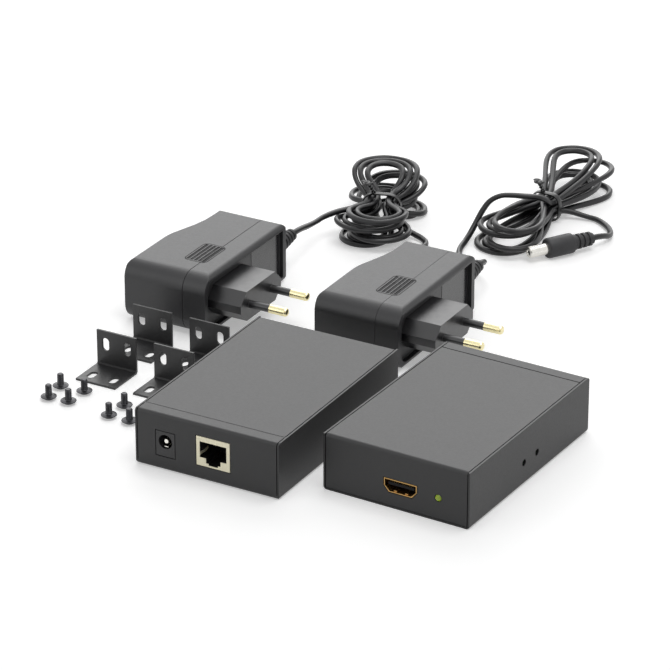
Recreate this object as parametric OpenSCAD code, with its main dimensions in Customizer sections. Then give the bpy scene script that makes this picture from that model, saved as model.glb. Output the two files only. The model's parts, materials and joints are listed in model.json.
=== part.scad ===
// Video extender set: a receiver and a transmitter in matching sheet-metal cases,
// two plug-in power adapters with tied leads, four angle brackets and their screws.
// The origin is at the middle of the receiver's underside. X runs across the
// receiver, Y along it to the rear, and Z up. The set stands on the plane Z = 0.

/* [Case] */
// Width of each case
case_w = 68; // [62:1:84]
// Length of each case
case_l = 101; // [92:1:130]
// Height of each case
case_h = 25.4; // [24:0.2:36]
// Thickness of the case sheet
sheet = 0.8; // [0.6:0.1:1.2]
// Outer radius of the folded edges
fold_r = 1.6; // [1.3:0.1:2.4]
// Gap between the cover and the cheeks beside it
cover_gap = 0.4; // [0.2:0.1:0.8]
// Length of the lip that holds the cover's end down
lip_l = 6.4; // [5:0.2:9]
// Gap between the lip and the cover's edge
lip_gap = 0.5; // [0.3:0.1:1]
// Length of the flange at the foot of the cover's end wall
flange_l = 8; // [7:0.5:10]
// Distance between the two side screw holes
side_hole_pitch = 11; // [8:0.5:16]
// Height of the side screw holes
side_hole_z = 10.2; // [9:0.1:14]
// Diameter of the side screw holes
side_hole_d = 3; // [2.5:0.1:4]

/* [Board] */
// Height of the board's top face
board_top = 6.4; // [5.6:0.1:7]
// Thickness of the board
board_t = 1.6; // [1:0.1:2]
// Gap between the board's edge and the case walls
board_gap = 1.2; // [0.6:0.1:2]
// Spacing of the board screws across the case
board_hole_x = 54; // [46:1:56]
// Spacing of the board screws along the case
board_hole_y = 72; // [60:1:74]
// Thread diameter of the board and cover screws
small_screw_d = 2.5; // [2:0.1:3]

/* [Network socket] */
// Sideways place of the network socket, seen from its end
network_x = 3.1; // [1:0.1:8]
// Width of the network socket
network_w = 15.8; // [15:0.1:17]
// Height of the network socket
network_h = 13.2; // [12.8:0.1:14]
// Depth of the network socket
network_d = 16.5; // [15:0.5:21]
// Width of the network socket's mouth
mouth_w = 12.6; // [11.8:0.1:13]
// Height of the network socket's mouth above its latch notch
mouth_h = 7.2; // [6.8:0.1:8]
// Thickness of the metal shield
shield_t = 0.4; // [0.25:0.05:0.6]

/* [Power socket] */
// Distance of the power socket's middle from the side of the case
power_set = 14.4; // [11:0.1:20]
// Width of the power socket
power_w = 9; // [8.5:0.1:10]
// Height of the power socket
power_h = 11.2; // [10.6:0.1:12]
// Depth of the power socket
power_d = 14; // [13:0.5:16]
// Diameter of the power socket's hole
power_hole_d = 6.3; // [5.9:0.1:6.8]
// Diameter of the power socket's centre pin
power_pin_d = 2; // [1.6:0.1:2.4]

/* [Video socket] */
// Sideways place of the video socket, seen from the other end
video_x = -2.1; // [-6:0.1:4]
// Width of the video socket's shell
video_w = 15.2; // [14.6:0.1:16]
// Height of the video socket's shell
video_h = 5.9; // [5.5:0.1:6.5]
// Depth of the video socket's shell
video_d = 11.5; // [10:0.5:13]
// Distance of the indicator lamp from the side of the case
lamp_set = 14.4; // [8:0.1:20]
// Height of the indicator lamp
lamp_z = 10.4; // [9:0.1:14]
// Diameter of the indicator lamp
lamp_d = 3; // [2:0.1:4]

/* [Adapter] */
// Length of the adapter body
adapter_l = 71.5; // [68:0.5:90]
// Height of the adapter body as it lies
adapter_h = 28.5; // [26:0.5:34]
// Depth of the adapter body at its cord end
adapter_t = 33.5; // [31:0.5:42]
// Extra depth at its plug end
belly = 8; // [4:0.5:12]
// Depth of the front shell, from the plug face to the seam
front_t = 11.5; // [11.5:0.5:13]
// Wall of the adapter shells
wall = 2.2; // [1.6:0.1:3]
// Corner radius of the plug end, seen from the side
nose_r = 8; // [5:0.5:10]
// Corner radius of the cord end, seen from the side
tail_r = 3; // [2:0.5:5]
// Radius of the long edges
edge_r = 2.6; // [1.5:0.1:4]
// Distance of the plug's middle from the plug end
plug_set = 23.3; // [22:0.5:26]
// Height of the plug's middle
plug_z = 15; // [13.5:0.5:16]
// Length of the plug body across its pins
plug_l = 35.4; // [34:0.2:36]
// Length of the plug body's flat faces
plug_flat = 25; // [24:0.5:27]
// Height of the plug body
plug_h = 14; // [13:0.2:15]
// How far the plug body stands out of its recess
plug_out = 17; // [14:0.5:20]
// Depth of the recess in the plug face
recess = 2; // [1:0.1:2.5]
// Border round the recess
recess_border = 2.8; // [2.6:0.1:4]
// Distance between the plug's pins
pin_pitch = 18.6; // [17.5:0.1:19]
// Diameter of the pins' bare tips
pin_d = 4; // [3.8:0.1:4.8]
// Length of the pins
pin_l = 19; // [17:0.5:21]
// Length of the pins' insulating sleeves
sleeve_l = 10; // [8:0.5:12]

/* [Lead] */
// Diameter of each adapter's lead
cord_d = 2.8; // [2.4:0.1:3]
// Length of the strain relief outside the body
gland_l = 18; // [14:0.5:20]
// Diameter of the strain relief at the body
gland_d = 10.4; // [9:0.2:11]
// Diameter of the low-voltage plug's grip
grip_d = 9.6; // [8.6:0.2:9.8]
// Length of the low-voltage plug's grip
grip_l = 14; // [12:0.5:16]
// Length of the low-voltage plug's ribbed strain relief
relief_l = 11; // [9:0.5:12]
// Outer diameter of the low-voltage plug's barrel
barrel_d = 5.5; // [5:0.1:5.8]
// Bore of the low-voltage plug's barrel
barrel_bore = 2.1; // [1.6:0.1:2.6]
// Length of the low-voltage plug's barrel
barrel_l = 9.5; // [8.5:0.5:10]

/* [Brackets] */
// Width of each bracket
bracket_w = 20; // [18:0.5:26]
// Height of each bracket's upright leg
bracket_h = 17; // [15:0.5:22]
// Length of each bracket's foot
bracket_foot = 18.5; // [16:0.5:19]
// Thickness of the bracket steel
bracket_t = 1; // [0.8:0.1:1.6]
// Width of the bracket slots
slot_w = 3.4; // [3.2:0.1:4]
// Overall length of the bracket slots
slot_l = 6; // [5:0.1:7]
// Distance between the two slots of a leg
slot_pitch = 11; // [9:0.5:12]
// Distance of the slots' middle from the leg's free edge
slot_set = 6.3; // [5:0.1:7]
// Flange diameter of the bracket screws
screw_head_d = 7; // [6:0.1:8]
// Thread diameter of the bracket screws
screw_d = 3; // [2.5:0.1:3.2]
// Thread length of the bracket screws
screw_l = 5.5; // [4:0.5:8]

/* [Hidden] */
$fn = 48;

// Overrun of every cut, and the running clearance of pieces that slide together
over = 0.5;
fit = 0.1;

// Places of the loose pieces of the set
unit_gap = 12.3;
transmitter_back = 16.5;
transmitter_at = [case_w + unit_gap, transmitter_back, 0];
transmitter_turn = 177.9;
adapter_a_at = [-69.6, 87.3, 0];
adapter_b_at = [20.8, 98.5, 0];
bracket_at = [-97.5, 19.6, 0];
bracket_step_x = 29;
bracket_step_y = 29.4;
screw_places = [
    [-98.8, -7.6], [-97.5, -18.9], [-87.9, -18.3], [-87.2, -6.9],
    [-65, -10.1], [-65.8, -21.1], [-55.4, -21.4], [-48.5, -12]
];

module at_transmitter() {
    translate(transmitter_at)
        rotate([0, 0, transmitter_turn])
            children();
}

// CASE

half_w = case_w / 2;
half_l = case_l / 2;
inner_x = half_w - sheet;
csk_d = 4.4;
csk_taper = (csk_d - small_screw_d) / sheet;
slit_w = 0.4;
slit_foot = 2;
tuck_share = 0.6;
cover_screw_share = 0.28;
screw_hole_d = small_screw_d + 2 * fit;
cover_screw_x = case_w * cover_screw_share;
cover_screw_y = half_l - flange_l / 2 - sheet / 2;
port_gap = 0.3;
network_z = board_top + port_gap;
power_x = power_set - half_w;
power_z = board_top;
lamp_x = lamp_set - half_w;

// A bar along X whose section, in Y and Z, has two rounded corners at low Y
module folded_block(w, l, h, r) {
    translate([-w / 2, 0, 0])
        rotate([90, 0, 90])
            linear_extrude(w)
                union() {
                    translate([-l / 2 + r, 0])
                        square([l - r, h]);
                    translate([-l / 2, r])
                        square([l, h - 2 * r]);
                    for (z = [r, h - r])
                        translate([-l / 2 + r, z])
                            circle(r);
                }
}

// A bar along Y whose section, in X and Z, has its two lower corners rounded
module keel_block(w, l, h, r) {
    translate([0, l / 2, 0])
        rotate([90, 0, 0])
            linear_extrude(l)
                union() {
                    translate([-w / 2, r])
                        square([w, h - r]);
                    translate([-w / 2 + r, 0])
                        square([w - 2 * r, h]);
                    for (x = [-w / 2 + r, w / 2 - r])
                        translate([x, r])
                            circle(r);
                }
}

// The cover screws' places, and the board screws'
module at_cover_screws() {
    for (x = [-cover_screw_x, cover_screw_x])
        translate([x, cover_screw_y, 0])
            children();
}

module at_board_screws() {
    for (x = [-board_hole_x / 2, board_hole_x / 2], y = [-board_hole_y / 2, board_hole_y / 2])
        translate([x, y, 0])
            children();
}

module case_tray() {
    color("#2b2b2c")
        difference() {
            intersection() {
                folded_block(case_w, case_l, case_h, fold_r);
                keel_block(case_w, case_l, case_h, fold_r);
            }
            translate([-inner_x, -half_l + sheet, sheet])
                cube([2 * inner_x, case_l, case_h - 2 * sheet]);
            translate([-inner_x, -half_l + lip_l, sheet])
                cube([2 * inner_x, case_l, case_h]);
            // The end wall and its lip are free of the cheeks
            for (side = [-1, 1])
                translate([side * (inner_x - slit_w / 2) - slit_w / 2, -half_l - over, slit_foot])
                    cube([slit_w, lip_l + 2 * over, case_h]);
            translate([power_x - power_w / 2 - port_gap, -half_l - over, power_z - port_gap])
                cube([power_w + 2 * port_gap, sheet + 2 * over, power_h + 2 * port_gap]);
            translate([network_x - network_w / 2 - port_gap, -half_l - over, network_z - port_gap])
                cube([network_w + 2 * port_gap, sheet + 2 * over, network_h + 2 * port_gap]);
            for (y = [-side_hole_pitch / 2, side_hole_pitch / 2])
                translate([-half_w - over, y, side_hole_z])
                    rotate([0, 90, 0])
                        cylinder(d = side_hole_d, h = case_w + 2 * over);
            at_cover_screws() {
                translate([0, 0, -over])
                    cylinder(d1 = csk_d + 2 * fit + over * csk_taper, d2 = screw_hole_d,
                        h = sheet + over);
                cylinder(d = screw_hole_d, h = sheet + over);
            }
        }
}

module case_cover() {
    plate_w = 2 * (inner_x - cover_gap);
    plate_y = -half_l + lip_l + lip_gap;
    tuck = lip_l * tuck_share;
    tuck_z = case_h - 2 * sheet - fit;
    color("#2f2f30")
        difference() {
            union() {
                intersection() {
                    mirror([0, 1, 0])
                        folded_block(plate_w, case_l, case_h, fold_r);
                    translate([-half_w, plate_y, sheet])
                        cube([case_w, case_l, case_h]);
                }
                translate([-plate_w / 2, plate_y - tuck, tuck_z])
                    cube([plate_w, tuck + 2 * sheet, sheet]);
            }
            translate([-half_w, plate_y - over, 2 * sheet])
                cube([case_w, half_l - flange_l - plate_y + over, case_h - 4 * sheet - fit]);
            translate([-half_w, plate_y + 2 * sheet, 2 * sheet])
                cube([case_w, half_l - sheet - plate_y - 2 * sheet, case_h - 3 * sheet]);
            translate([-half_w, plate_y - over, 0])
                cube([case_w, half_l - flange_l - plate_y + over, 3 * sheet]);
            // The tongue under the lip is open above the network socket
            translate([network_x - network_w / 2 - port_gap, plate_y - tuck - over, 2 * sheet])
                cube([network_w + 2 * port_gap, tuck + 2 * sheet + over, case_h - 3 * sheet]);
            translate([video_x, half_l + over, board_top])
                rotate([90, 0, 0])
                    linear_extrude(sheet + 2 * over)
                        video_outline(port_gap);
            translate([lamp_x, half_l + over, lamp_z])
                rotate([90, 0, 0])
                    cylinder(d = lamp_d + 2 * fit, h = sheet + 2 * over);
            at_cover_screws()
                cylinder(d = screw_hole_d, h = 3 * sheet);
        }
}

module cover_screws() {
    color("#3a3a3c")
        at_cover_screws() {
            cylinder(d1 = csk_d, d2 = small_screw_d, h = sheet);
            cylinder(d = small_screw_d, h = 3 * sheet);
        }
}

// BOARD

board_w = 2 * (inner_x - board_gap);
board_l = case_l - 2 * (sheet + board_gap);
board_z = board_top - board_t;
standoff_d = 5.4;
pan_d = 4.6;
pan_h = 1.7;
thread_l = 5;

module circuit_board() {
    color("#1f5c38")
        difference() {
            translate([-board_w / 2, -board_l / 2, board_z])
                cube([board_w, board_l, board_t]);
            at_board_screws()
                translate([0, 0, board_z - over])
                    cylinder(d = screw_hole_d, h = board_t + 2 * over);
        }
}

module standoffs() {
    color("#b9b6a8")
        at_board_screws()
            translate([0, 0, sheet])
                difference() {
                    cylinder(d = standoff_d, h = board_z - sheet);
                    translate([0, 0, -over])
                        cylinder(d = screw_hole_d, h = board_z + over);
                }
}

module board_screws() {
    color("#c9c7c0")
        at_board_screws() {
            translate([0, 0, board_top])
                cylinder(d = pan_d, h = pan_h);
            translate([0, 0, board_top - thread_l])
                cylinder(d = small_screw_d, h = thread_l);
        }
}

chip_side = 14;
driver_share = 0.7;
row_share = 1.3;
coil_row_share = 1.8;
can_row_share = 1.5;
chip_h = 1.2;
coil_side = 8;
can_d = 6.3;
can_h = 7.7;

// The video processor, two line drivers, a coil and two capacitors
module chips() {
    color("#222224")
        translate([0, 0, board_top]) {
            translate([-chip_side / 2, 0, 0])
                cube([chip_side, chip_side, chip_h]);
            for (x = [-chip_side, chip_side / 2])
                translate([x, -chip_side * row_share, 0])
                    cube([chip_side / 2, chip_side * driver_share, chip_h]);
            translate([-chip_side * coil_row_share, chip_side, 0])
                cube([coil_side, coil_side, chip_h * 3]);
            for (y = [-can_d, can_d])
                translate([chip_side * can_row_share, y, 0])
                    cylinder(d = can_d, h = can_h);
        }
}

// NETWORK SOCKET

notch_w = 6.9;
notch_h = 2.2;
catch_w = 4.4;
catch_h = 0.8;
mouth_top = 2.3;
mouth_d = 12;
mouth_z = network_h - mouth_top - mouth_h;
contact_t = 0.35;
contact_pitch = 1.02;
contact_count = 8;

// The mouth with the latch notch under it, in X and Z from the socket's lower middle
module mouth_outline() {
    translate([-mouth_w / 2, mouth_z])
        square([mouth_w, mouth_h]);
    translate([-notch_w / 2, mouth_z - notch_h])
        square([notch_w, mouth_h]);
    translate([-catch_w / 2, mouth_z - notch_h - catch_h])
        square([catch_w, mouth_h]);
}

module at_network() {
    translate([network_x, -half_l, network_z])
        children();
}

module network_shield() {
    color("#e4dfc6")
        at_network()
            difference() {
                translate([-network_w / 2, 0, 0])
                    cube([network_w, network_d, network_h]);
                translate([-network_w / 2 + shield_t, shield_t, -over])
                    cube([network_w - 2 * shield_t, network_d, network_h - shield_t + over]);
                translate([0, network_d / 2, 0])
                    rotate([90, 0, 0])
                        linear_extrude(network_d)
                            mouth_outline();
            }
}

module network_insert() {
    insert_w = network_w - 2 * (shield_t + fit);
    color("#151516")
        at_network()
            difference() {
                translate([-insert_w / 2, shield_t + fit, board_top - network_z])
                    cube([insert_w, network_d - shield_t - fit,
                        network_h - shield_t - fit + network_z - board_top]);
                translate([0, mouth_d, 0])
                    rotate([90, 0, 0])
                        linear_extrude(mouth_d + over)
                            mouth_outline();
            }
}

// Eight spring contacts that slope down into the mouth from its roof
contact_run_share = 0.7;
contact_drop_share = 0.45;

module network_contacts() {
    run = mouth_d * contact_run_share;
    drop = mouth_h * contact_drop_share;
    roof = mouth_z + mouth_h;
    color("#d9b45a")
        at_network()
            for (i = [0 : contact_count - 1])
                translate([(i - (contact_count - 1) / 2) * contact_pitch - contact_t / 2, 0, 0])
                    rotate([90, 0, 90])
                        linear_extrude(contact_t)
                            polygon([
                                [mouth_d - run, roof],
                                [mouth_d, roof - drop],
                                [mouth_d, roof - drop - contact_t],
                                [mouth_d - run, roof - contact_t]
                            ]);
}

// POWER SOCKET

power_hole_l = 9.5;
power_axis_z = power_h - power_w / 2;
spring_t = 0.5;
spring_lift = 0.4;

module at_power() {
    translate([power_x, -half_l, power_z])
        children();
}

module power_socket() {
    color("#1c1c1d")
        at_power()
            difference() {
                translate([-power_w / 2, 0, 0])
                    cube([power_w, power_d, power_h]);
                translate([0, power_hole_l, power_axis_z])
                    rotate([90, 0, 0])
                        cylinder(d = power_hole_d, h = power_hole_l + over);
                translate([0, power_d + over, power_axis_z])
                    rotate([90, 0, 0])
                        cylinder(d = power_pin_d, h = power_d);
            }
}

// The centre pin, and the flat spring at the bottom of the hole
module power_contacts() {
    color("#d8d6ce")
        at_power() {
            translate([0, power_d, power_axis_z])
                rotate([90, 0, 0])
                    cylinder(d = power_pin_d, h = power_d - sheet);
            translate([-power_pin_d / 2, sheet, power_axis_z - power_hole_d / 2 + spring_lift])
                cube([power_pin_d, power_hole_l - sheet, spring_t]);
        }
}

// VIDEO SOCKET

video_rise = 0.7;
video_skin = 0.4;
video_chin_share = 0.7;
video_shoulder_share = 0.45;
tab_share = 0.28;
tab_l_share = 0.6;
tongue_h = 1.3;
tongue_l = 8;
tongue_share = 0.8;
tongue_z_share = 0.6;

// The shell's section: wide at the top, with its lower corners cut away
module video_outline(grow) {
    half = video_w / 2 + grow;
    foot = half * video_chin_share;
    polygon([
        [-half, video_h + grow + video_rise],
        [-half, video_h * video_shoulder_share + video_rise],
        [-foot, video_rise - grow],
        [foot, video_rise - grow],
        [half, video_h * video_shoulder_share + video_rise],
        [half, video_h + grow + video_rise]
    ]);
}

module at_video() {
    translate([video_x, half_l, board_top])
        children();
}

module video_shell() {
    color("#b8965a")
        at_video() {
            rotate([90, 0, 0])
                difference() {
                    linear_extrude(video_d)
                        video_outline(0);
                    translate([0, 0, -over])
                        linear_extrude(video_d + 2 * over)
                            video_outline(-video_skin);
                }
            for (side = [-1, 1])
                translate([side * video_w * tab_share - video_skin, -video_d, 0])
                    cube([2 * video_skin, video_d * tab_l_share, video_rise + video_skin]);
        }
}

module video_tongue() {
    root = video_d - tongue_l - sheet;
    middle = video_rise + video_h * tongue_z_share;
    color("#191919")
        at_video() {
            translate([-video_w * tongue_share / 2, -video_d + root - fit, middle - tongue_h / 2])
                cube([video_w * tongue_share, tongue_l, tongue_h]);
            translate([0, -video_d + root, 0])
                rotate([90, 0, 0])
                    linear_extrude(root)
                        video_outline(-video_skin - fit);
        }
}

// LAMP

lamp_body_l = 4;
lamp_out = 0.8;
leg_t = 0.5;
leg_pitch = 1.27;

module lamp() {
    color("#a9c21e")
        translate([lamp_x, half_l + lamp_out - lamp_d / 2, lamp_z])
            rotate([90, 0, 0]) {
                sphere(d = lamp_d);
                cylinder(d = lamp_d, h = lamp_body_l);
                for (x = [-leg_pitch, leg_pitch])
                    translate([x - leg_t / 2, -leg_t / 2, lamp_body_l - leg_t])
                        cube([leg_t, leg_t, 3 * leg_t]);
                for (x = [-leg_pitch, leg_pitch])
                    translate([x - leg_t / 2, board_top - lamp_z, lamp_body_l + leg_t])
                        cube([leg_t, lamp_z - board_top + leg_t / 2, leg_t]);
            }
}

// ADAPTER
// The adapter's own frame has its plug face at X = 0 and the plug's middle at Y = 0.

tail_y = adapter_l - plug_set;
deep = adapter_t + belly;
bend_at_share = 0.86;
bend_l_share = 0.53;
bend_at = adapter_l * bend_at_share;
bend_l = adapter_l * bend_l_share;
bend_steps = 10;

// The rear wall's place as it swells from the cord end to the plug end
function swell(s) = s * s * (3 - 2 * s);
function rear_x(y) = -adapter_t - belly * swell(max(0, min(1, (bend_at - y) / bend_l)));

// Outline seen from above, drawn in by a margin
module adapter_plan(inset) {
    low = -plug_set + inset;
    high = tail_y - inset;
    polygon(concat(
        [[-inset, low], [-inset, high]],
        [for (i = [0 : bend_steps])
            let (y = high + (low - high) * i / bend_steps)
                [rear_x(y + plug_set) + inset, y]]
    ));
}

// Outline seen from the plug face, drawn in by a margin
module adapter_side(inset) {
    low = -plug_set + inset;
    high = tail_y - inset;
    top = adapter_h - inset;
    front_r = nose_r - inset;
    back_r = max(tail_r - inset, fit);
    rounded_panel([low, inset], [high, top], front_r, back_r);
}

// A rectangle with one radius at its two low-X corners and another at the other two
module rounded_panel(a, b, ra, rb) {
    translate([a[0] + ra, a[1]])
        square([b[0] - a[0] - ra - rb, b[1] - a[1]]);
    translate([a[0], a[1] + ra])
        square([ra, b[1] - a[1] - 2 * ra]);
    translate([b[0] - rb, a[1] + rb])
        square([rb, b[1] - a[1] - 2 * rb]);
    for (y = [a[1] + ra, b[1] - ra])
        translate([a[0] + ra, y])
            circle(ra);
    for (y = [a[1] + rb, b[1] - rb])
        translate([b[0] - rb, y])
            circle(rb);
}

module adapter_block(inset) {
    long_r = edge_r - inset * edge_r / (2 * wall);
    intersection() {
        translate([-deep, 0, 0])
            rotate([90, 0, 90])
                linear_extrude(deep)
                    adapter_side(inset);
        linear_extrude(adapter_h)
            adapter_plan(inset);
        translate([0, tail_y, 0])
            rotate([90, 0, 0])
                linear_extrude(adapter_l)
                    rounded_panel([-deep + inset, inset], [-inset, adapter_h - inset], long_r, long_r);
    }
}

pad_w = 10;
pad_l = 17.5;
pad_y = 2;
pad_sink = 0.4;
pad_rib = 0.5;
pad_count = 5;
pad_reach = 2;
pad_x = -front_t + pad_reach;

// The sunk grip pad in the upper face, with its ribs left standing
module grip_pad_cut() {
    rib_pitch = pad_w / pad_count;
    for (i = [0 : pad_count - 1])
        translate([pad_x - pad_w + i * rib_pitch, pad_y - pad_l / 2, adapter_h - pad_sink])
            cube([rib_pitch - pad_rib, pad_l, pad_sink + over]);
}

seam_gap = 0.15;
post_d = 5;
post_share = 0.3;
post_y = adapter_l * post_share;
card_t = 1.6;
card_x_share = 0.72;
card_x = -adapter_t * card_x_share;
card_gap = 1;
card_end_gap = 3;
card_h = adapter_h - 2 * (wall + card_gap);
card_l = adapter_l - 2 * (wall + card_end_gap);

module back_shell() {
    color("#3a3a3b")
        difference() {
            union() {
                difference() {
                    adapter_block(0);
                    adapter_block(wall);
                }
                intersection() {
                    adapter_block(wall / 2);
                    for (y = [-post_y / 2, post_y * 1.5])
                        translate([-deep, y, adapter_h / 2])
                            rotate([0, 90, 0])
                                cylinder(d = post_d, h = deep + card_x);
                }
            }
            translate([-front_t - seam_gap, -adapter_l, -over])
                cube([deep, 3 * adapter_l, adapter_h + 2 * over]);
            grip_pad_cut();
        }
}

// The plug body's section in Y and Z, six-sided with blunt ends
blunt = 3.6;

module plug_outline(grow) {
    polygon([
        [-plug_flat / 2, plug_h / 2 + grow], [plug_flat / 2, plug_h / 2 + grow],
        [plug_l / 2 + grow, blunt / 2], [plug_l / 2 + grow, -blunt / 2],
        [plug_flat / 2, -plug_h / 2 - grow], [-plug_flat / 2, -plug_h / 2 - grow],
        [-plug_l / 2 - grow, -blunt / 2], [-plug_l / 2 - grow, blunt / 2]
    ]);
}

module along_plug(x) {
    translate([x, 0, plug_z])
        rotate([90, 0, 90])
            children();
}

gland_x = -7.5;
gland_z = adapter_h / 2;
neck_d = 5;

module front_shell() {
    color("#39393a")
        difference() {
            adapter_block(0);
            difference() {
                adapter_block(wall);
                translate([-recess - wall, -adapter_l, 0])
                    cube([deep, 3 * adapter_l, adapter_h]);
            }
            translate([-deep - front_t, -adapter_l, -over])
                cube([deep, 3 * adapter_l, adapter_h + 2 * over]);
            translate([-recess, 0, 0])
                rotate([90, 0, 90])
                    linear_extrude(recess + over)
                        adapter_side(recess_border);
            along_plug(-front_t)
                linear_extrude(front_t + over)
                    plug_outline(fit);
            translate([gland_x, tail_y + over, gland_z])
                rotate([90, 0, 0])
                    cylinder(d = neck_d + 2 * fit, h = wall + 2 * over);
            grip_pad_cut();
        }
}

insert_flange = 1.6;
flange_t = 1.8;
sleeve_d = 3.6;
core_d = 3;
tip_x = plug_out - recess;

module pin_bores(d, x, l) {
    for (y = [-pin_pitch / 2, pin_pitch / 2])
        translate([x, y, plug_z])
            rotate([0, 90, 0])
                cylinder(d = d, h = l);
}

module plug_insert() {
    color("#303031")
        difference() {
            union() {
                along_plug(-recess - wall)
                    linear_extrude(plug_out + wall)
                        plug_outline(0);
                along_plug(-recess - wall - flange_t)
                    linear_extrude(flange_t)
                        plug_outline(insert_flange);
                pin_bores(sleeve_d, 0, tip_x + sleeve_l);
            }
            pin_bores(core_d + 2 * fit, -front_t, front_t + tip_x + sleeve_l + over);
        }
}

module pins() {
    color("#e6dcae")
        for (y = [-pin_pitch / 2, pin_pitch / 2])
            translate([0, y, plug_z])
                rotate([0, 90, 0]) {
                    translate([0, 0, -recess - wall - 2 * flange_t])
                        cylinder(d = core_d, h = recess + wall + 2 * flange_t + tip_x + pin_l - pin_d);
                    translate([0, 0, tip_x + sleeve_l])
                        cylinder(d = pin_d, h = pin_l - sleeve_l - pin_d / 2);
                    translate([0, 0, tip_x + pin_l - pin_d / 2])
                        sphere(d = pin_d);
                }
}

coil_w = 18;
coil_l = 20;
coil_h = 10;
can2_d = 9;
can2_h = 7;

// The card with its transformer and capacitors, standing on edge on the shell's posts
module inner_board() {
    color("#7a5a2e")
        union() {
            translate([card_x, -plug_set + wall + card_end_gap, (adapter_h - card_h) / 2])
                cube([card_t, card_l, card_h]);
            translate([card_x + card_t, coil_l / 2, (adapter_h - coil_w) / 2])
                cube([coil_h, coil_l, coil_w]);
            translate([card_x + card_t, -can2_d, adapter_h / 2])
                rotate([0, 90, 0])
                    cylinder(d = can2_d, h = can2_h);
        }
}

ring_count = 4;
gland_inner_d = 6.4;
collar_share = 0.2;
groove_share = 0.4;
groove_deep = 0.9;
ring_taper = 0.2;
tip_share = 0.9;

function gland_r(i) = gland_d / 2 - (gland_d / 2 - cord_d * tip_share) * i / ring_count;

// The ribbed strain relief: a collar, then thinner and thinner rings
module gland() {
    collar = gland_l * collar_share;
    step = (gland_l - collar) / ring_count;
    color("#2a2a2b")
        translate([gland_x, tail_y, gland_z])
            rotate([-90, 0, 0])
                rotate_extrude()
                    polygon(concat(
                        [[0, -2 * wall], [gland_inner_d / 2, -2 * wall],
                            [gland_inner_d / 2, -wall], [neck_d / 2, -wall], [neck_d / 2, 0],
                            [gland_d / 2, 0], [gland_d / 2, collar]],
                        [for (i = [0 : ring_count - 1])
                            let (z = collar + step * i, rib = gland_r(i + 0.5),
                                neck = rib - groove_deep)
                            each [[neck, z], [neck, z + step * groove_share],
                                [rib, z + step * groove_share], [rib - ring_taper, z + step]]],
                        [[0, gland_l]]
                    ));
}

// LEADS
// Each lead is one cord: a free stretch, a tied hank and a free tail with its plug.
// A hank's own frame has its tie at the origin and its length along Y.

cord_sides = 8;
hank_sides = 6;
hank_rings = 24;
hank_layers = 4;
hank_inner_r = cord_d * 3;
hank_step = 3.7;
hank_layer_h = 3.4;
hank_lift = 1.2;
climb_share = 0.125;
end_lean = 0.5;
tie_w = 3;
tie_t = 0.8;
tie_gap = 0.4;
tie_loop_r = 2.4;

// Where each hank lies, its heading, its loops in a layer and in all, the length of its
// near and far runs, how far its top layer rises at both ends, its hand, and how far its
// waist is drawn in
hank_a_at = [-61, 210.5, 0];
hank_a_heading = 17;
hank_a_loops = [2.5, 9.5];
hank_a_runs = [15, 16];
hank_a_rises = [3, 10];
hank_a_hand = 1;
hank_a_draw = 3.6;
hank_b_at = [3, 255, 0];
hank_b_heading = -2;
hank_b_loops = [1.5, 6];
hank_b_runs = [36, 37];
hank_b_rises = [2, 6];
hank_b_hand = -1;
hank_b_draw = 6.4;
hank_a = [hank_a_at, hank_a_heading, hank_a_loops, hank_a_runs, hank_a_rises, hank_a_hand,
    hank_a_draw];
hank_b = [hank_b_at, hank_b_heading, hank_b_loops, hank_b_runs, hank_b_rises, hank_b_hand,
    hank_b_draw];

function hank_at(h) = h[0];
function hank_heading(h) = h[1];
function layer_loops(h) = h[2][0];
function all_loops(h) = h[2][1];
function near_run(h) = h[3][0];
function far_run(h) = h[3][1];
function near_rise(h) = h[4][0];
function far_rise(h) = h[4][1];
function hank_hand(h) = h[5];
function hank_draw(h) = h[6];

// How far each layer's ends reach past or short of the runs' length
near_shares = [0, 0.1, -0.06, 0.04];
far_shares = [0, -0.12, 0.06, -0.02];

lead_a_points = [
    [-77.1, 153.5, 14.25], [-77.1, 157, 14.25], [-77.5, 163, 13.4], [-78.1, 170.5, 11.8],
    [-78.6, 178, 10.6], [-78.6, 185.5, 10.4], [-78, 192, 11], [-76.3, 198, 12.2]
];
tail_a_points = [
    [-46.3, 208.9, 2.2], [-43.6, 207.3, 1.7], [-40.3, 206.3, 1.5], [-36.6, 204.4, 1.5],
    [-33.4, 202.1, 1.5], [-31.4, 198.6, 1.5], [-30.8, 194.6, 2], [-30.9, 190.6, 3.1],
    [-31.1, 186.8, 4.4], [-31, 183.6, 4.8], [-30.6, 181, 4.8]
];
lead_b_points = [
    [13.3, 164.7, 14.25], [13.3, 168, 14.25], [12.3, 172.5, 12.6], [9.6, 177, 10.2],
    [5.8, 181, 7.4], [1, 184.6, 5], [-4.2, 188, 3.2], [-9, 191.8, 2], [-12.8, 196.8, 1.5],
    [-15.4, 203, 1.5], [-16.6, 210, 1.9], [-16.8, 216, 4], [-16.4, 220.8, 7.6],
    [-15.4, 225, 12], [-13.4, 228.8, 16], [-9.6, 232, 18.2], [-4.4, 235, 18.4],
    [0.8, 237.6, 18], [5.6, 240.4, 17.6], [8.8, 243.8, 16.8], [10.1, 248, 15]
];
tail_b_points = [
    [11.8, 260.6, 2.2], [14.4, 263.4, 1.6], [18.4, 264.8, 1.5], [23, 264.4, 1.5],
    [27.6, 262.6, 1.5], [31.8, 259.8, 1.5], [35.4, 256.4, 1.5], [38, 252.2, 1.6],
    [39.3, 247.6, 2.3], [39, 243.4, 3.8], [37.5, 238.9, 4.8], [36, 236.5, 4.8]
];

function unit(v) = v / norm(v);
function smooth01(s) = let (c = max(0, min(1, s))) c * c * (3 - 2 * c);
function between(list, s) =
    let (i = floor(s), j = min(i + 1, len(list) - 1))
    list[i] + (list[j] - list[i]) * (s - i);

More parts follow.
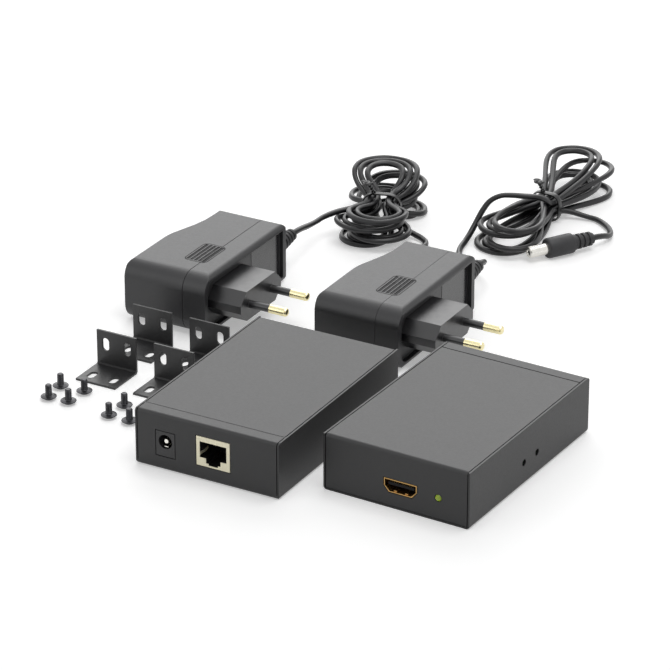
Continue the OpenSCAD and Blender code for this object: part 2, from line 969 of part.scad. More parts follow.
// The plain loop at turn t: side of the hank, place along the runs, and end bow
function loop_shape(t) =
    let (s = (t - floor(t)) * 4)
    s < 0.5 ? [-1, s * 2, 0] :
    s < 1.5 ? [-cos((s - 0.5) * 180), 1, sin((s - 0.5) * 180)] :
    s < 2.5 ? [1, 1 - (s - 1.5) * 2, 0] :
    s < 3.5 ? [cos((s - 2.5) * 180), -1, -sin((s - 2.5) * 180)] :
    [-1, (s - 3.5) * 2 - 1, 0];

// How far out the strand lies, from 0 inside to 1 outside, and its layer from the top
function hank_out(h, t) =
    let (m = layer_loops(h))
    abs(1 - (t / m - 2 * floor(t / m / 2)));
function hank_layer(h, t) =
    let (m = layer_loops(h), w = climb_share)
    hank_layers - 1 - smooth01((t - m + w) / (2 * w))
        - smooth01((t - 2 * m + w) / (2 * w))
        - smooth01((t - 3 * m + w) / (2 * w));

// The strand's middle at turn t, in the hank's own frame
function hank_local(h, t) =
    let (shape = loop_shape(t), layer = hank_layer(h, t),
        bow = hank_inner_r + layer_loops(h) * hank_step * hank_out(h, t),
        waist = pow(cos(90 * shape[1]), 2),
        far = shape[1] > 0,
        reach = far ? far_run(h) * (1 + between(far_shares, layer))
            : near_run(h) * (1 + between(near_shares, layer)),
        top_rise = far ? far_rise(h) : near_rise(h),
        rise = top_rise * layer / (hank_layers - 1) * pow(1 - waist, 2))
    [hank_hand(h) * shape[0] * (bow - hank_draw(h) * waist),
        shape[1] * reach + shape[2] * bow,
        cord_d / 2 + layer * hank_layer_h + hank_lift * waist + rise];

function turned(p, a) = [p[0] * cos(a) - p[1] * sin(a), p[0] * sin(a) + p[1] * cos(a), p[2]];
function hank_point(h, t) = hank_at(h) + turned(hank_local(h, t), hank_heading(h));

// An end of the hank runs straight for one cord width, and leans a little outwards
function whole_turns(h) = all_loops(h) == floor(all_loops(h));
function end_step(h, side, way) =
    turned([side * hank_hand(h) * end_lean, way * cord_d, 0], hank_heading(h));
function hank_start(h) = hank_point(h, 0) + end_step(h, -1, -1);
function hank_end(h) =
    hank_point(h, all_loops(h)) + (whole_turns(h) ? end_step(h, -1, 1) : end_step(h, 1, -1));
function hank_path(h, rings) =
    concat([hank_start(h)], [for (i = [0 : all_loops(h) * rings]) hank_point(h, i / rings)],
        [hank_end(h)]);

// A tube swept along one stretch of a path. Its flat ends are square to the whole path,
// so that the next stretch meets it face to face.
function path_run(p, i) = unit(p[min(i + 1, len(p) - 1)] - p[max(i - 1, 0)]);
function path_ring(p, i, d, n) =
    let (run = path_run(p, i), side = unit(cross(run, [0, 0, 1])), up = cross(side, run))
    [for (k = [0 : n - 1]) p[i] + d / 2 * (cos(360 * k / n) * side + sin(360 * k / n) * up)];

module tube(p, first, stop, d, n) {
    last = stop - first;
    polyhedron(
        points = [for (i = [first : stop]) each path_ring(p, i, d, n)],
        faces = concat(
            [for (k = [1 : n - 2]) [0, k, k + 1]],
            [for (k = [1 : n - 2]) [last * n, last * n + k + 1, last * n + k]],
            [for (i = [0 : last - 1], k = [0 : n - 1])
                [i * n + k, (i + 1) * n + k, i * n + (k + 1) % n]],
            [for (i = [0 : last - 1], k = [0 : n - 1])
                [(i + 1) * n + k, (i + 1) * n + (k + 1) % n, i * n + (k + 1) % n]]
        )
    );
}

function whole_path(lead, h, tail, rings) = concat(lead, hank_path(h, rings), tail);

// The cord's free stretch from its adapter, its hank, and its free stretch to the plug
module cord_lead(lead, h, tail) {
    color("#1b1b1c")
        tube(whole_path(lead, h, tail, hank_rings), 0, len(lead), cord_d, cord_sides);
}

module cord_hank(lead, h, tail) {
    stop = len(lead) + len(hank_path(h, hank_rings)) - 1;
    color("#1b1b1c")
        tube(whole_path(lead, h, tail, hank_rings), len(lead), stop, cord_d, hank_sides);
}

module cord_tail(lead, h, tail) {
    path = whole_path(lead, h, tail, hank_rings);
    color("#1b1b1c")
        tube(path, len(path) - len(tail) - 1, len(path) - 1, cord_d, cord_sides);
}

// The printed checks: each cord's length, and each hank's least gap to itself
function path_length(p, i = 1) = i < len(p) ? norm(p[i] - p[i - 1]) + path_length(p, i + 1) : 0;
function to_segment(q, a, b) =
    let (run = b - a, s = max(0, min(1, (q - a) * run / (run * run))))
    norm(q - a - run * s);
function least_gap(p, apart) =
    min([for (i = [0 : len(p) - apart - 2], j = [i + apart : len(p) - 2])
        to_segment(p[i], p[j], p[j + 1])]) - cord_d;

module print_lead(name, lead, h, tail) {
    echo(str(name, " length ", path_length(whole_path(lead, h, tail, 2 * hank_rings)),
        ", hank gap ", least_gap(hank_path(h, 2 * hank_rings), hank_rings / 2)));
}

// The band round the hank's waist, with the loop of its twisted ends
module hank_tie(h) {
    reach = cord_d / 2 + tie_gap;
    sides = [hank_local(h, 0)[0], hank_local(h, whole_turns(h) ? 0.5 : all_loops(h))[0]];
    low = [min(sides) - reach, hank_lift - tie_gap];
    high = [max(sides) + reach, hank_local(h, 0)[2] + reach];
    grow = [tie_t, tie_t];
    color("#131314")
        translate(hank_at(h))
            rotate([0, 0, hank_heading(h)]) {
                translate([0, tie_w / 2, 0])
                    rotate([90, 0, 0])
                        linear_extrude(tie_w)
                            difference() {
                                rounded_panel(low - grow, high + grow, reach + tie_t, reach + tie_t);
                                rounded_panel(low, high, reach, reach);
                            }
                translate([low[0] + 2 * tie_loop_r, 0, high[1] + tie_t + tie_loop_r])
                    rotate([90, 0, 0])
                        rotate_extrude()
                            translate([tie_loop_r, 0])
                                circle(tie_t);
            }
}

// LOW-VOLTAGE PLUG
// Its own frame starts where the cord enters it, and runs along X.

relief_count = 4;
relief_d = 7.4;
rib_deep = 0.7;
rib_share = 0.6;

module at_plug(points) {
    last = points[len(points) - 1];
    run = last - points[len(points) - 2];
    translate(last)
        rotate([0, 0, atan2(run[1], run[0])])
            rotate([0, 90, 0])
                children();
}

module dc_plug(points) {
    rib = relief_l / relief_count;
    color("#1d1d1e")
        at_plug(points)
            rotate_extrude()
                polygon(concat(
                    [[0, 0]],
                    [for (i = [0 : relief_count - 1])
                        each [[relief_d / 2, i * rib], [relief_d / 2, (i + rib_share) * rib],
                            [relief_d / 2 - rib_deep, (i + rib_share) * rib],
                            [relief_d / 2 - rib_deep, (i + 1) * rib]]],
                    [[grip_d / 2 - rib_deep, relief_l], [grip_d / 2, relief_l + rib_deep],
                    [grip_d / 2, relief_l + grip_l - rib_deep],
                    [grip_d / 2 - rib_deep, relief_l + grip_l], [0, relief_l + grip_l]]
                ));
}

module dc_barrel(points) {
    color("#d5d4cf")
        at_plug(points)
            translate([0, 0, relief_l + grip_l])
                difference() {
                    cylinder(d = barrel_d, h = barrel_l);
                    translate([0, 0, -over])
                        cylinder(d = barrel_bore, h = barrel_l + 2 * over);
                }
}

// BRACKETS

fold_out = 1.4;

module slots(set) {
    for (x = [-slot_pitch / 2, slot_pitch / 2])
        translate([bracket_w / 2 + x, set]) {
            translate([-slot_w / 2, -(slot_l - slot_w) / 2])
                square([slot_w, slot_l - slot_w]);
            for (y = [-1, 1])
                translate([0, y * (slot_l - slot_w) / 2])
                    circle(d = slot_w);
        }
}

module bracket(column, row) {
    foot = bracket_foot - bracket_t;
    color("#232324")
        translate(bracket_at + [column * bracket_step_x, row * bracket_step_y, 0])
            difference() {
                rotate([90, 0, 90])
                    linear_extrude(bracket_w)
                        union() {
                            translate([0, fold_out])
                                square([bracket_t, bracket_h - fold_out]);
                            translate([-foot, 0])
                                square([bracket_foot - fold_out, bracket_t]);
                            intersection() {
                                translate([bracket_t - fold_out, fold_out])
                                    circle(fold_out);
                                translate([bracket_t - fold_out, 0])
                                    square(fold_out);
                            }
                        }
                translate([0, bracket_t + over, 0])
                    rotate([90, 0, 0])
                        linear_extrude(bracket_t + 2 * over)
                            slots(bracket_h - slot_set);
                translate([0, 0, -over])
                    linear_extrude(bracket_t + 2 * over)
                        slots(-foot + slot_set);
            }
}

dome_h = 1.5;
dome_d = 5.4;
flange_h = 0.7;
crown_share = 0.3;
shoulder_share = 0.44;

// Flanged screws that stand on their heads, thread up
module bracket_screws() {
    color("#1e1e1f")
        for (place = screw_places)
            translate([place[0], place[1], 0])
                rotate_extrude()
                    polygon([
                        [0, 0], [dome_d * crown_share, 0], [dome_d * shoulder_share, dome_h * shoulder_share],
                        [dome_d / 2, dome_h], [screw_head_d / 2, dome_h],
                        [screw_head_d / 2, dome_h + flange_h / 2],
                        [screw_d / 2, dome_h + flange_h],
                        [screw_d / 2, dome_h + flange_h + screw_l - flange_h],
                        [screw_d / 2 - flange_h / 2, dome_h + flange_h + screw_l],
                        [0, dome_h + flange_h + screw_l]
                    ]);
}

// NODES

module receiver_tray() {
    case_tray();
}

module receiver_cover() {
    case_cover();
}

module receiver_cover_screws() {
    cover_screws();
}

module receiver_circuit_board() {
    circuit_board();
}

module receiver_standoffs() {
    standoffs();
}

module receiver_board_screws() {
    board_screws();
}

module receiver_network_shield() {
    network_shield();
}

module receiver_network_insert() {
    network_insert();
}

module receiver_network_contacts() {
    network_contacts();
}

module receiver_power_socket() {
    power_socket();
}

module receiver_power_contacts() {
    power_contacts();
}

module receiver_video_shell() {
    video_shell();
}

module receiver_video_tongue() {
    video_tongue();
}

module receiver_lamp() {
    lamp();
}

module receiver_chips() {
    chips();
}

module transmitter_tray() {
    at_transmitter()
        case_tray();
}

module transmitter_cover() {
    at_transmitter()
        case_cover();
}

module transmitter_cover_screws() {
    at_transmitter()
        cover_screws();
}

module transmitter_circuit_board() {
    at_transmitter()
        circuit_board();
}

module transmitter_standoffs() {
    at_transmitter()
        standoffs();
}

module transmitter_board_screws() {
    at_transmitter()
        board_screws();
}

module transmitter_network_shield() {
    at_transmitter()
        network_shield();
}

module transmitter_network_insert() {
    at_transmitter()
        network_insert();
}

module transmitter_network_contacts() {
    at_transmitter()
        network_contacts();
}

module transmitter_power_socket() {
    at_transmitter()
        power_socket();
}

module transmitter_power_contacts() {
    at_transmitter()
        power_contacts();
}

module transmitter_video_shell() {
    at_transmitter()
        video_shell();
}

module transmitter_video_tongue() {
    at_transmitter()
        video_tongue();
}

module transmitter_lamp() {
    at_transmitter()
        lamp();
}

module transmitter_chips() {
    at_transmitter()
        chips();
}

module adapter_a_back_shell() {
    translate(adapter_a_at)
        back_shell();
}

module adapter_a_front_shell() {
    translate(adapter_a_at)
        front_shell();
}

module adapter_a_plug_insert() {
    translate(adapter_a_at)
        plug_insert();
}

module adapter_a_pins() {
    translate(adapter_a_at)
        pins();
}

module adapter_a_inner_board() {
    translate(adapter_a_at)
        inner_board();
}

module adapter_a_gland() {
    translate(adapter_a_at)
        gland();
}

module adapter_a_lead() {
    cord_lead(lead_a_points, hank_a, tail_a_points);
}

module adapter_a_hank() {
    cord_hank(lead_a_points, hank_a, tail_a_points);
    print_lead("adapter_a", lead_a_points, hank_a, tail_a_points);
}

module adapter_a_tail() {
    cord_tail(lead_a_points, hank_a, tail_a_points);
}

module adapter_a_tie() {
    hank_tie(hank_a);
}

module adapter_a_dc_plug() {
    dc_plug(tail_a_points);
}

module adapter_a_dc_barrel() {
    dc_barrel(tail_a_points);
}

module adapter_b_back_shell() {
    translate(adapter_b_at)
        back_shell();
}

module adapter_b_front_shell() {
    translate(adapter_b_at)
        front_shell();
}

module adapter_b_plug_insert() {
    translate(adapter_b_at)
        plug_insert();
}

module adapter_b_pins() {
    translate(adapter_b_at)
        pins();
}

module adapter_b_inner_board() {
    translate(adapter_b_at)
        inner_board();
}

module adapter_b_gland() {
    translate(adapter_b_at)
        gland();
}

module adapter_b_lead() {
    cord_lead(lead_b_points, hank_b, tail_b_points);
}

module adapter_b_hank() {
    cord_hank(lead_b_points, hank_b, tail_b_points);
    print_lead("adapter_b", lead_b_points, hank_b, tail_b_points);
}

module adapter_b_tail() {
    cord_tail(lead_b_points, hank_b, tail_b_points);
}

module adapter_b_tie() {
    hank_tie(hank_b);
}

module adapter_b_dc_plug() {
    dc_plug(tail_b_points);
}

module adapter_b_dc_barrel() {
    dc_barrel(tail_b_points);
}

module bracket_1() {
    bracket(0, 0);
}

module bracket_2() {
    bracket(0, 1);
}

module bracket_3() {
    bracket(1, 0);
}

module bracket_4() {
    bracket(1, 1);
}

receiver_tray();
receiver_cover();
receiver_cover_screws();
receiver_circuit_board();
receiver_standoffs();
receiver_board_screws();
receiver_network_shield();
receiver_network_insert();
receiver_network_contacts();
receiver_power_socket();
receiver_power_contacts();
receiver_video_shell();
receiver_video_tongue();
receiver_lamp();
receiver_chips();
transmitter_tray();
transmitter_cover();
transmitter_cover_screws();
transmitter_circuit_board();
transmitter_standoffs();
transmitter_board_screws();
transmitter_network_shield();
transmitter_network_insert();
transmitter_network_contacts();
transmitter_power_socket();
transmitter_power_contacts();
transmitter_video_shell();
transmitter_video_tongue();
transmitter_lamp();
transmitter_chips();
adapter_a_back_shell();
adapter_a_front_shell();
adapter_a_plug_insert();
adapter_a_pins();
adapter_a_inner_board();
adapter_a_gland();
adapter_a_lead();
adapter_a_hank();
adapter_a_tail();
adapter_a_tie();
adapter_a_dc_plug();
adapter_a_dc_barrel();
adapter_b_back_shell();
adapter_b_front_shell();
adapter_b_plug_insert();
adapter_b_pins();
adapter_b_inner_board();
adapter_b_gland();
adapter_b_lead();
adapter_b_hank();
adapter_b_tail();
adapter_b_tie();
adapter_b_dc_plug();
adapter_b_dc_barrel();
bracket_1();
bracket_2();
bracket_3();
bracket_4();
bracket_screws();
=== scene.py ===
"""Looks for a video extender set: a receiver and a transmitter in folded steel cases,
two plug-in adapters with tied leads, four angle brackets and eight bracket screws."""
import json
import math

import bmesh
import bpy
import numpy as np
from mathutils import Matrix, Vector


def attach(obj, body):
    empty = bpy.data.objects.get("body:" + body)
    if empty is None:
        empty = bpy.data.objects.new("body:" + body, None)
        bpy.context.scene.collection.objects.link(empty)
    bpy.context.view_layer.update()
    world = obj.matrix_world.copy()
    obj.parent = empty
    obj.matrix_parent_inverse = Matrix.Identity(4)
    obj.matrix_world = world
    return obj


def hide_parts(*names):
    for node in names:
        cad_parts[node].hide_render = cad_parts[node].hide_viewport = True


bl_info = {
    "name": "Video Extender Set",
    "version": (1, 0, 0),
    "blender": (4, 5, 0),
    "location": "View3D > Sidebar > Extender",
    "description": "Builds the visible pieces, finishes, cords and stage of a video extender set",
    "category": "Object",
}

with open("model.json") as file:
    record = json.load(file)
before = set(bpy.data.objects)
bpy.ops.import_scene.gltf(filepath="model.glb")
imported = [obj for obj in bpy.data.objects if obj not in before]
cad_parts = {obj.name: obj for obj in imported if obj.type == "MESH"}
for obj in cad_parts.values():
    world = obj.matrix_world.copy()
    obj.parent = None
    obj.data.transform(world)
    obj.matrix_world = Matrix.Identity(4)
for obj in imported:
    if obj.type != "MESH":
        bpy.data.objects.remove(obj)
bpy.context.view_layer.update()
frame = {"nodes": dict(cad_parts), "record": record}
MM = 0.001

# Places of the set's pieces, in millimetres, as in the part's source
TRANSMITTER_AT = (80.3, 16.5)
TRANSMITTER_TURN = 177.9
ADAPTER_AT = {"adapter_a": (-69.6, 87.3), "adapter_b": (20.8, 98.5)}
UNITS = ("receiver", "transmitter")
ADAPTERS = ("adapter_a", "adapter_b")
BRACKETS = ("bracket_1", "bracket_2", "bracket_3", "bracket_4")
SCREW_PLACES = (
    (-98.8, -7.6), (-97.5, -18.9), (-87.9, -18.3), (-87.2, -6.9),
    (-65.0, -10.1), (-65.8, -21.1), (-55.4, -21.4), (-48.5, -12.0),
)

# Sizes of the cases, their sockets' springs and contacts, and their lamps. A contact row is
# a count and the tongue's face, up or down.
CASE_W, CASE_L, CASE_H, SHEET = 68.0, 101.0, 25.4, 0.8
LIP, SEAM, SEAM_DEEP = 6.4, 0.5, 0.1
BOARD_TOP = 6.4
BOARD_HOLE_X, BOARD_HOLE_Y = 54.0, 72.0
COVER_SCREW_X, COVER_SCREW_Y = 19.04, 46.1
NETWORK_X, NETWORK_Z, MOUTH_W = 3.1, 6.7, 12.6
SPRING_RISE, SPRING_W, SPRING_T, SPRING_BACK = 4.6, 1.4, 0.22, 0.15
VIDEO_X, VIDEO_H, VIDEO_RISE = -2.1, 5.9, 0.7
CONTACT_W, CONTACT_L, CONTACT_T, CONTACT_BACK, CONTACT_RISE = 0.26, 6.4, 0.12, 0.4, 0.66
CONTACT_ROWS = ((10, 1), (9, -1))
GRIP_SPRING_X, GRIP_SPRING_W, GRIP_SPRING_T, GRIP_SPRING_RISE = 2.6, 1.4, 0.5, 0.4
GRIP_SPRING_FROM, GRIP_SPRING_TO = 3.4, 0.6
LAMP_X, LAMP_Z, LAMP_D, LAMP_OUT, LEG_X, LEG_W = -19.6, 10.4, 3.0, 0.8, 1.27, 0.5

# Sizes of the adapters, whose own frame has the plug face at X = 0
ADAPTER_H = 28.5
PLUG_Z, PLUG_OUT, RECESS = 15.0, 15.0, 2.0
PIN_PITCH, PIN_D, PIN_L, SLEEVE_L = 18.6, 4.0, 19.0, 10.0
TAIL_Y, GLAND_X = 48.2, -7.5
PAD_X, PAD_W, PAD_Y, PAD_L, PAD_GROOVES = -9.5, 10.0, 2.0, 17.5, 5
GROOVE_W, OUTLINE_W, PAD_EDGE, PAD_ROUND = 1.4, 0.5, 1.1, 2.6
LABEL_FROM, LABEL_TO, LABEL_MARGIN, LABEL_T = 20.4, 44.2, 4.2, 0.12

# Turned shapes as (radius, height), and the side spring's bend as (out, deep)
COUNTERSUNK = ((1.8, 0.02), (2.15, 0.1), (1.25, 0.8), (1.25, 2.2), (1.0, 2.4), (0, 2.4))
PAN_HEAD = ((1.7, 8.1), (2.05, 7.9), (2.3, 7.3), (2.3, 6.4), (1.25, 6.4), (1.25, 1.6), (0, 1.4))
FLANGED_HEAD = (
    (0, 0), (1.2, 0.0), (2.0, 0.3), (2.6, 0.9), (2.75, 1.3), (3.45, 1.32), (3.5, 1.45),
    (3.42, 1.62), (2.2, 2.0), (1.62, 2.1), (1.42, 2.3),
)
GLAND_ROOT = ((0, -4.4), (3.2, -4.4), (3.2, -2.2), (2.5, -2.2), (2.5, 0))
GLAND_COLLAR = ((4.9, 0), (5.2, 0.3), (5.2, 2.9), (4.8, 3.5))
GLAND_TIP = 18.0
SPRING_BEND = ((0.05, 0.0), (0.12, 0.9), (0.4, 3.2), (0.25, 5.6), (0.05, 6.6))
THREAD_CORE_R, THREAD_DEEP, THREAD_LOW, THREAD_HIGH = 1.2, 0.3, 2.3, 7.0

# The camera, measured from the photograph, and the picture's frame in pixels
CAMERA_AT = (697.5, -1190.5, 704.0)
CAMERA_TURN = (64.47, 0.0, 29.22)
FOCAL_PX = 3700.0
FRAME_PX = 670.0
SENSOR_MM = 36.0

# The studio: lamps as name, place, size and power, the point that they face, the floor's
# glow where it is seen, and the world's light where it isn't
LAMPS = (
    ("back", (-700, 1300, 900), 1500, 12.5),
    ("top", (250, 150, 1300), 900, 8.0),
    ("fill", (-800, -900, 600), 800, 1.6),
)
LAMPS_FACE = (0, 90, 0)
FLOOR_GLOW, WORLD_LIGHT = 0.36, 0.22

# The cords' free stretches, in millimetres, as in the part's source
LEADS = {
    "adapter_a": (
        (-77.1, 153.5, 14.25), (-77.1, 157, 14.25), (-77.5, 163, 13.4), (-78.1, 170.5, 11.8),
        (-78.6, 178, 10.6), (-78.6, 185.5, 10.4), (-78, 192, 11), (-76.3, 198, 12.2),
    ),
    "adapter_b": (
        (13.3, 164.7, 14.25), (13.3, 168, 14.25), (12.3, 172.5, 12.6), (9.6, 177, 10.2),
        (5.8, 181, 7.4), (1, 184.6, 5), (-4.2, 188, 3.2), (-9, 191.8, 2), (-12.8, 196.8, 1.5),
        (-15.4, 203, 1.5), (-16.6, 210, 1.9), (-16.8, 216, 4), (-16.4, 220.8, 7.6),
        (-15.4, 225, 12), (-13.4, 228.8, 16), (-9.6, 232, 18.2), (-4.4, 235, 18.4),
        (0.8, 237.6, 18), (5.6, 240.4, 17.6), (8.8, 243.8, 16.8), (10.1, 248, 15),
    ),
}
TAILS = {
    "adapter_a": (
        (-46.3, 208.9, 2.2), (-43.6, 207.3, 1.7), (-40.3, 206.3, 1.5), (-36.6, 204.4, 1.5),
        (-33.4, 202.1, 1.5), (-31.4, 198.6, 1.5), (-30.8, 194.6, 2), (-30.9, 190.6, 3.1),
        (-31.1, 186.8, 4.4), (-31, 183.6, 4.8), (-30.6, 181, 4.8),
    ),
    "adapter_b": (
        (11.8, 260.6, 2.2), (14.4, 263.4, 1.6), (18.4, 264.8, 1.5), (23, 264.4, 1.5),
        (27.6, 262.6, 1.5), (31.8, 259.8, 1.5), (35.4, 256.4, 1.5), (38, 252.2, 1.6),
        (39.3, 247.6, 2.3), (39, 243.4, 3.8), (37.5, 238.9, 4.8), (36, 236.5, 4.8),
    ),
}
# Each tied hank: place, heading, loops in a layer, loops in all, near and far runs, rises
# of the near and far lobes, hand, what share of its width a loop keeps at the waist, and
# the turn in degrees by which each layer is fanned
HANKS = {
    "adapter_a": ((-61, 210.5), 17, 2.5, 9.5, 15, 16, 3, 10, 1, 0.74, (-16, 9, -10, 5)),
    "adapter_b": ((3, 255), -2, 1.5, 6, 36, 37, 2, 6, -1, 0.8, (-5, 6, -4, 8)),
}
CORD_D = 2.8
# How far a strand goes out with each loop and up with each layer, how far the waist is
# lifted, and the half width of its core. A strand climbs over CLIMB turns before and after
# a layer's end. The shares make each layer's near and far lobes longer or shorter.
HANK_LAYERS, HANK_STEP, LAYER_H, HANK_LIFT, WAIST_CORE = 4, 3.7, 3.4, 1.2, 1.5
CLIMB, END_LEAN, RINGS_A_LOOP = 0.125, 0.5, 24
NEAR_SHARES = (0, 0.1, -0.06, 0.04)
FAR_SHARES = (0, -0.12, 0.06, -0.02)
# The settling of the wound cord: the length that sets its steps, the radius to which the
# tie draws it in, the gap between strands, and the step along it. Strands don't push each
# other within SETTLE_SKIP steps along the cord. A free stretch lies still, but for its last
# FREE_RAMP beside the hank, which gives way more and more. The most sag in a stretch of
# SAG_REACH steps each way is that of a bend of 9 mm. The shares are of what each round mends.
CORD_LENGTHS = {"adapter_a": 1500.0, "adapter_b": 1482.0}
CINCHES = {"adapter_a": 7.4, "adapter_b": 5.4}
STRAND_GAP, PAIR_REACH, PAIR_ROUNDS, SETTLE_SKIP = 2.95, 1.5, 4, 7
SETTLE_ROUNDS, SETTLE_STEP, FREE_RAMP = 300, 1.4, 14.0
SAG_REACH, SAG_MOST = 3, 0.98
PUSH_SHARE, OPEN_SHARE, CINCH_SHARE, LINK_PASSES = 0.22, 0.3, 0.4, 5
SMOOTH_PASSES, SMOOTH_SHARE = 4, 0.5
# The wire tie's band and the twisted knot of its ends
TIE_W, TIE_T, TIE_GAP, TIE_ROUND, TIE_CROWN = 3.0, 0.8, 0.4, 0.72, 0.25
KNOT_X, KNOT_R, KNOT_LEAN, KNOT_SIDE, KNOT_FLAT = 4.8, 0.62, 4.2, 2.6, 0.9
KNOT_RISE, KNOT_H, KNOT_BOW, KNOT_HALF_TURNS, KNOT_STEPS = 0.55, 3.4, 0.62, 5, 43
KNOT_OPENS, KNOT_SPREAD, WIRE_R = 0.72, 9, 0.55
# The low-voltage plug, the length of one full turn of the cord's two cores, and where the
# groove between them starts, as a share
RELIEF_L, GRIP_L, GRIP_D, BARREL_D, BARREL_L, BARREL_BORE = 11.0, 14.0, 9.6, 5.5, 9.5, 2.1
CORD_TWIST, VALLEY_FROM = 170.0, 0.72

# The finish of the meshes: sides round a screw, a cord and a wire, steps round a corner,
# angles in degrees over which an edge stays sharp, and a length that counts as none
SCREW_SIDES, CORD_SIDES, WIRE_SIDES, ROUND_STEPS = 24, 16, 8, 6
SHARP_EDGE, SOFT_EDGE = 32, 40
TINY = 1e-6


def linear(hex_code):
    """An sRGB hex value as the linear colour with alpha that Blender's sockets take."""
    parts = [int(hex_code[i:i + 2], 16) / 255 for i in (1, 3, 5)]
    return (*(c / 12.92 if c <= 0.04045 else ((c + 0.055) / 1.055) ** 2.4 for c in parts), 1.0)


class ExtenderSizes(bpy.types.PropertyGroup):
    """Sizes of the finish that a user may change."""
    edge_round: bpy.props.FloatProperty(
        name="Edge Rounding", description="Width of the rounding along the sheet's cut edges",
        default=0.16 * MM, unit="LENGTH")
    shell_round: bpy.props.FloatProperty(
        name="Shell Rounding", description="Width of the rounding along moulded edges",
        default=0.3 * MM, unit="LENGTH")
    thread_pitch: bpy.props.FloatProperty(
        name="Thread Pitch", description="Pitch of the bracket screws' thread",
        default=0.5 * MM, unit="LENGTH")
    cord_groove: bpy.props.FloatProperty(
        name="Cord Groove", description="Depth of the groove between the cord's two cores",
        default=0.24 * MM, unit="LENGTH")


class ExtenderColours(bpy.types.PropertyGroup):
    """Colours of the finishes that a user may change."""
    paint: bpy.props.FloatVectorProperty(
        name="Case Paint", description="Colour of the cases' powder coat",
        default=linear("#232324"), size=4, subtype="COLOR", min=0, max=1)
    shell: bpy.props.FloatVectorProperty(
        name="Adapter Shell", description="Colour of the adapters' moulded shells",
        default=linear("#242426"), size=4, subtype="COLOR", min=0, max=1)
    cord: bpy.props.FloatVectorProperty(
        name="Cord", description="Colour of the cords' jacket",
        default=linear("#19191b"), size=4, subtype="COLOR", min=0, max=1)
    bracket: bpy.props.FloatVectorProperty(
        name="Bracket", description="Colour of the brackets' coat",
        default=linear("#1c1c1d"), size=4, subtype="COLOR", min=0, max=1)


# Placing and meshing


def unit_place(unit):
    """A unit's own frame, in millimetres, as a matrix to the row's metres."""
    if unit == "receiver":
        return Matrix.Scale(MM, 4)
    turn = Matrix.Rotation(math.radians(TRANSMITTER_TURN), 4, "Z")
    return Matrix.Scale(MM, 4) @ Matrix.Translation((*TRANSMITTER_AT, 0)) @ turn


def adapter_place(adapter):
    """An adapter's own frame, in millimetres, as a matrix to the row's metres."""
    return Matrix.Scale(MM, 4) @ Matrix.Translation((*ADAPTER_AT[adapter], 0))


def link(name, mesh, material=None):
    """A new object at the origin, with its mesh and material."""
    piece = bpy.data.objects.new(name, mesh)
    bpy.context.scene.collection.objects.link(piece)
    if material:
        mesh.materials.clear()
        mesh.materials.append(material)
    return piece


def mesh_from(bm, name):
    """Closes a bmesh into a mesh, with its normals facing out."""
    bmesh.ops.remove_doubles(bm, verts=bm.verts, dist=1e-7)
    bmesh.ops.recalc_face_normals(bm, faces=bm.faces)
    mesh = bpy.data.meshes.new(name)
    bm.to_mesh(mesh)
    bm.free()
    return mesh


def smooth_by_angle(mesh, degrees):
    """Shades a mesh smooth, with sharp edges where faces meet at more than an angle."""
    mesh.polygons.foreach_set("use_smooth", [True] * len(mesh.polygons))
    bm = bmesh.new()
    bm.from_mesh(mesh)
    limit = math.radians(degrees)
    for edge in bm.edges:
        edge.smooth = len(edge.link_faces) == 2 and edge.calc_face_angle(0) < limit
    bm.to_mesh(mesh)
    bm.free()
    mesh.update()


def keep(piece, body, slot, *nodes):
    """Rides a piece on its body and lets it stand for CAD nodes; the slot it is given is not used.
    """
    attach(piece, body)
    if nodes:
        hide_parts(*nodes)
    return piece


def bake(piece):
    """Applies a piece's modifiers, so that a plain mesh is left."""
    graph = bpy.context.evaluated_depsgraph_get()
    mesh = bpy.data.meshes.new_from_object(piece.evaluated_get(graph))
    piece.modifiers.clear()
    old = piece.data
    piece.data = mesh
    bpy.data.meshes.remove(old)
    return piece


def rounded_copy(node, name, width, material):
    """A merged copy of a CAD node's mesh, its sharp edges rounded and its flats kept flat."""
    bm = bmesh.new()
    bm.from_mesh(frame["nodes"][node].data)
    bmesh.ops.remove_doubles(bm, verts=bm.verts, dist=2e-6)
    bmesh.ops.dissolve_limit(
        bm, angle_limit=math.radians(0.6), verts=bm.verts, edges=bm.edges, delimit={"NORMAL"})
    mesh = bpy.data.meshes.new(name)
    bm.to_mesh(mesh)
    bm.free()
    piece = link(name, mesh, material)
    mesh.polygons.foreach_set("use_smooth", [True] * len(mesh.polygons))
    bevel = piece.modifiers.new("rounding", "BEVEL")
    bevel.width = width
    bevel.segments = 2
    bevel.limit_method = "ANGLE"
    bevel.angle_limit = math.radians(SHARP_EDGE)
    bevel.use_clamp_overlap = True
    split = piece.modifiers.new("triangles", "TRIANGULATE")
    split.ngon_method = "BEAUTY"
    flats = piece.modifiers.new("flats", "WEIGHTED_NORMAL")
    flats.weight = 100
    flats.keep_sharp = True
    return bake(piece)


def angles(count):
    """Angles that share out a full turn evenly."""
    return [2 * math.pi * k / count for k in range(count)]


def ring_at(bm, place, radius, height, sides):
    """A ring of points round Z."""
    return [bm.verts.new(place @ Vector((radius * math.cos(a), radius * math.sin(a), height)))
            for a in angles(sides)]


def bridge(bm, rings, closed=False, capped=False):
    """Joins rings of points with faces, round to the first if closed, with ends if capped."""
    made = []
    for low, high in zip(rings, rings[1:] + rings[:1] if closed else rings[1:]):
        for k in range(len(low)):
            k2 = (k + 1) % len(low)
            made.append(bm.faces.new((low[k], low[k2], high[k2], high[k])))
    if capped:
        bm.faces.new(reversed(rings[0]))
        bm.faces.new(rings[-1])
    return made


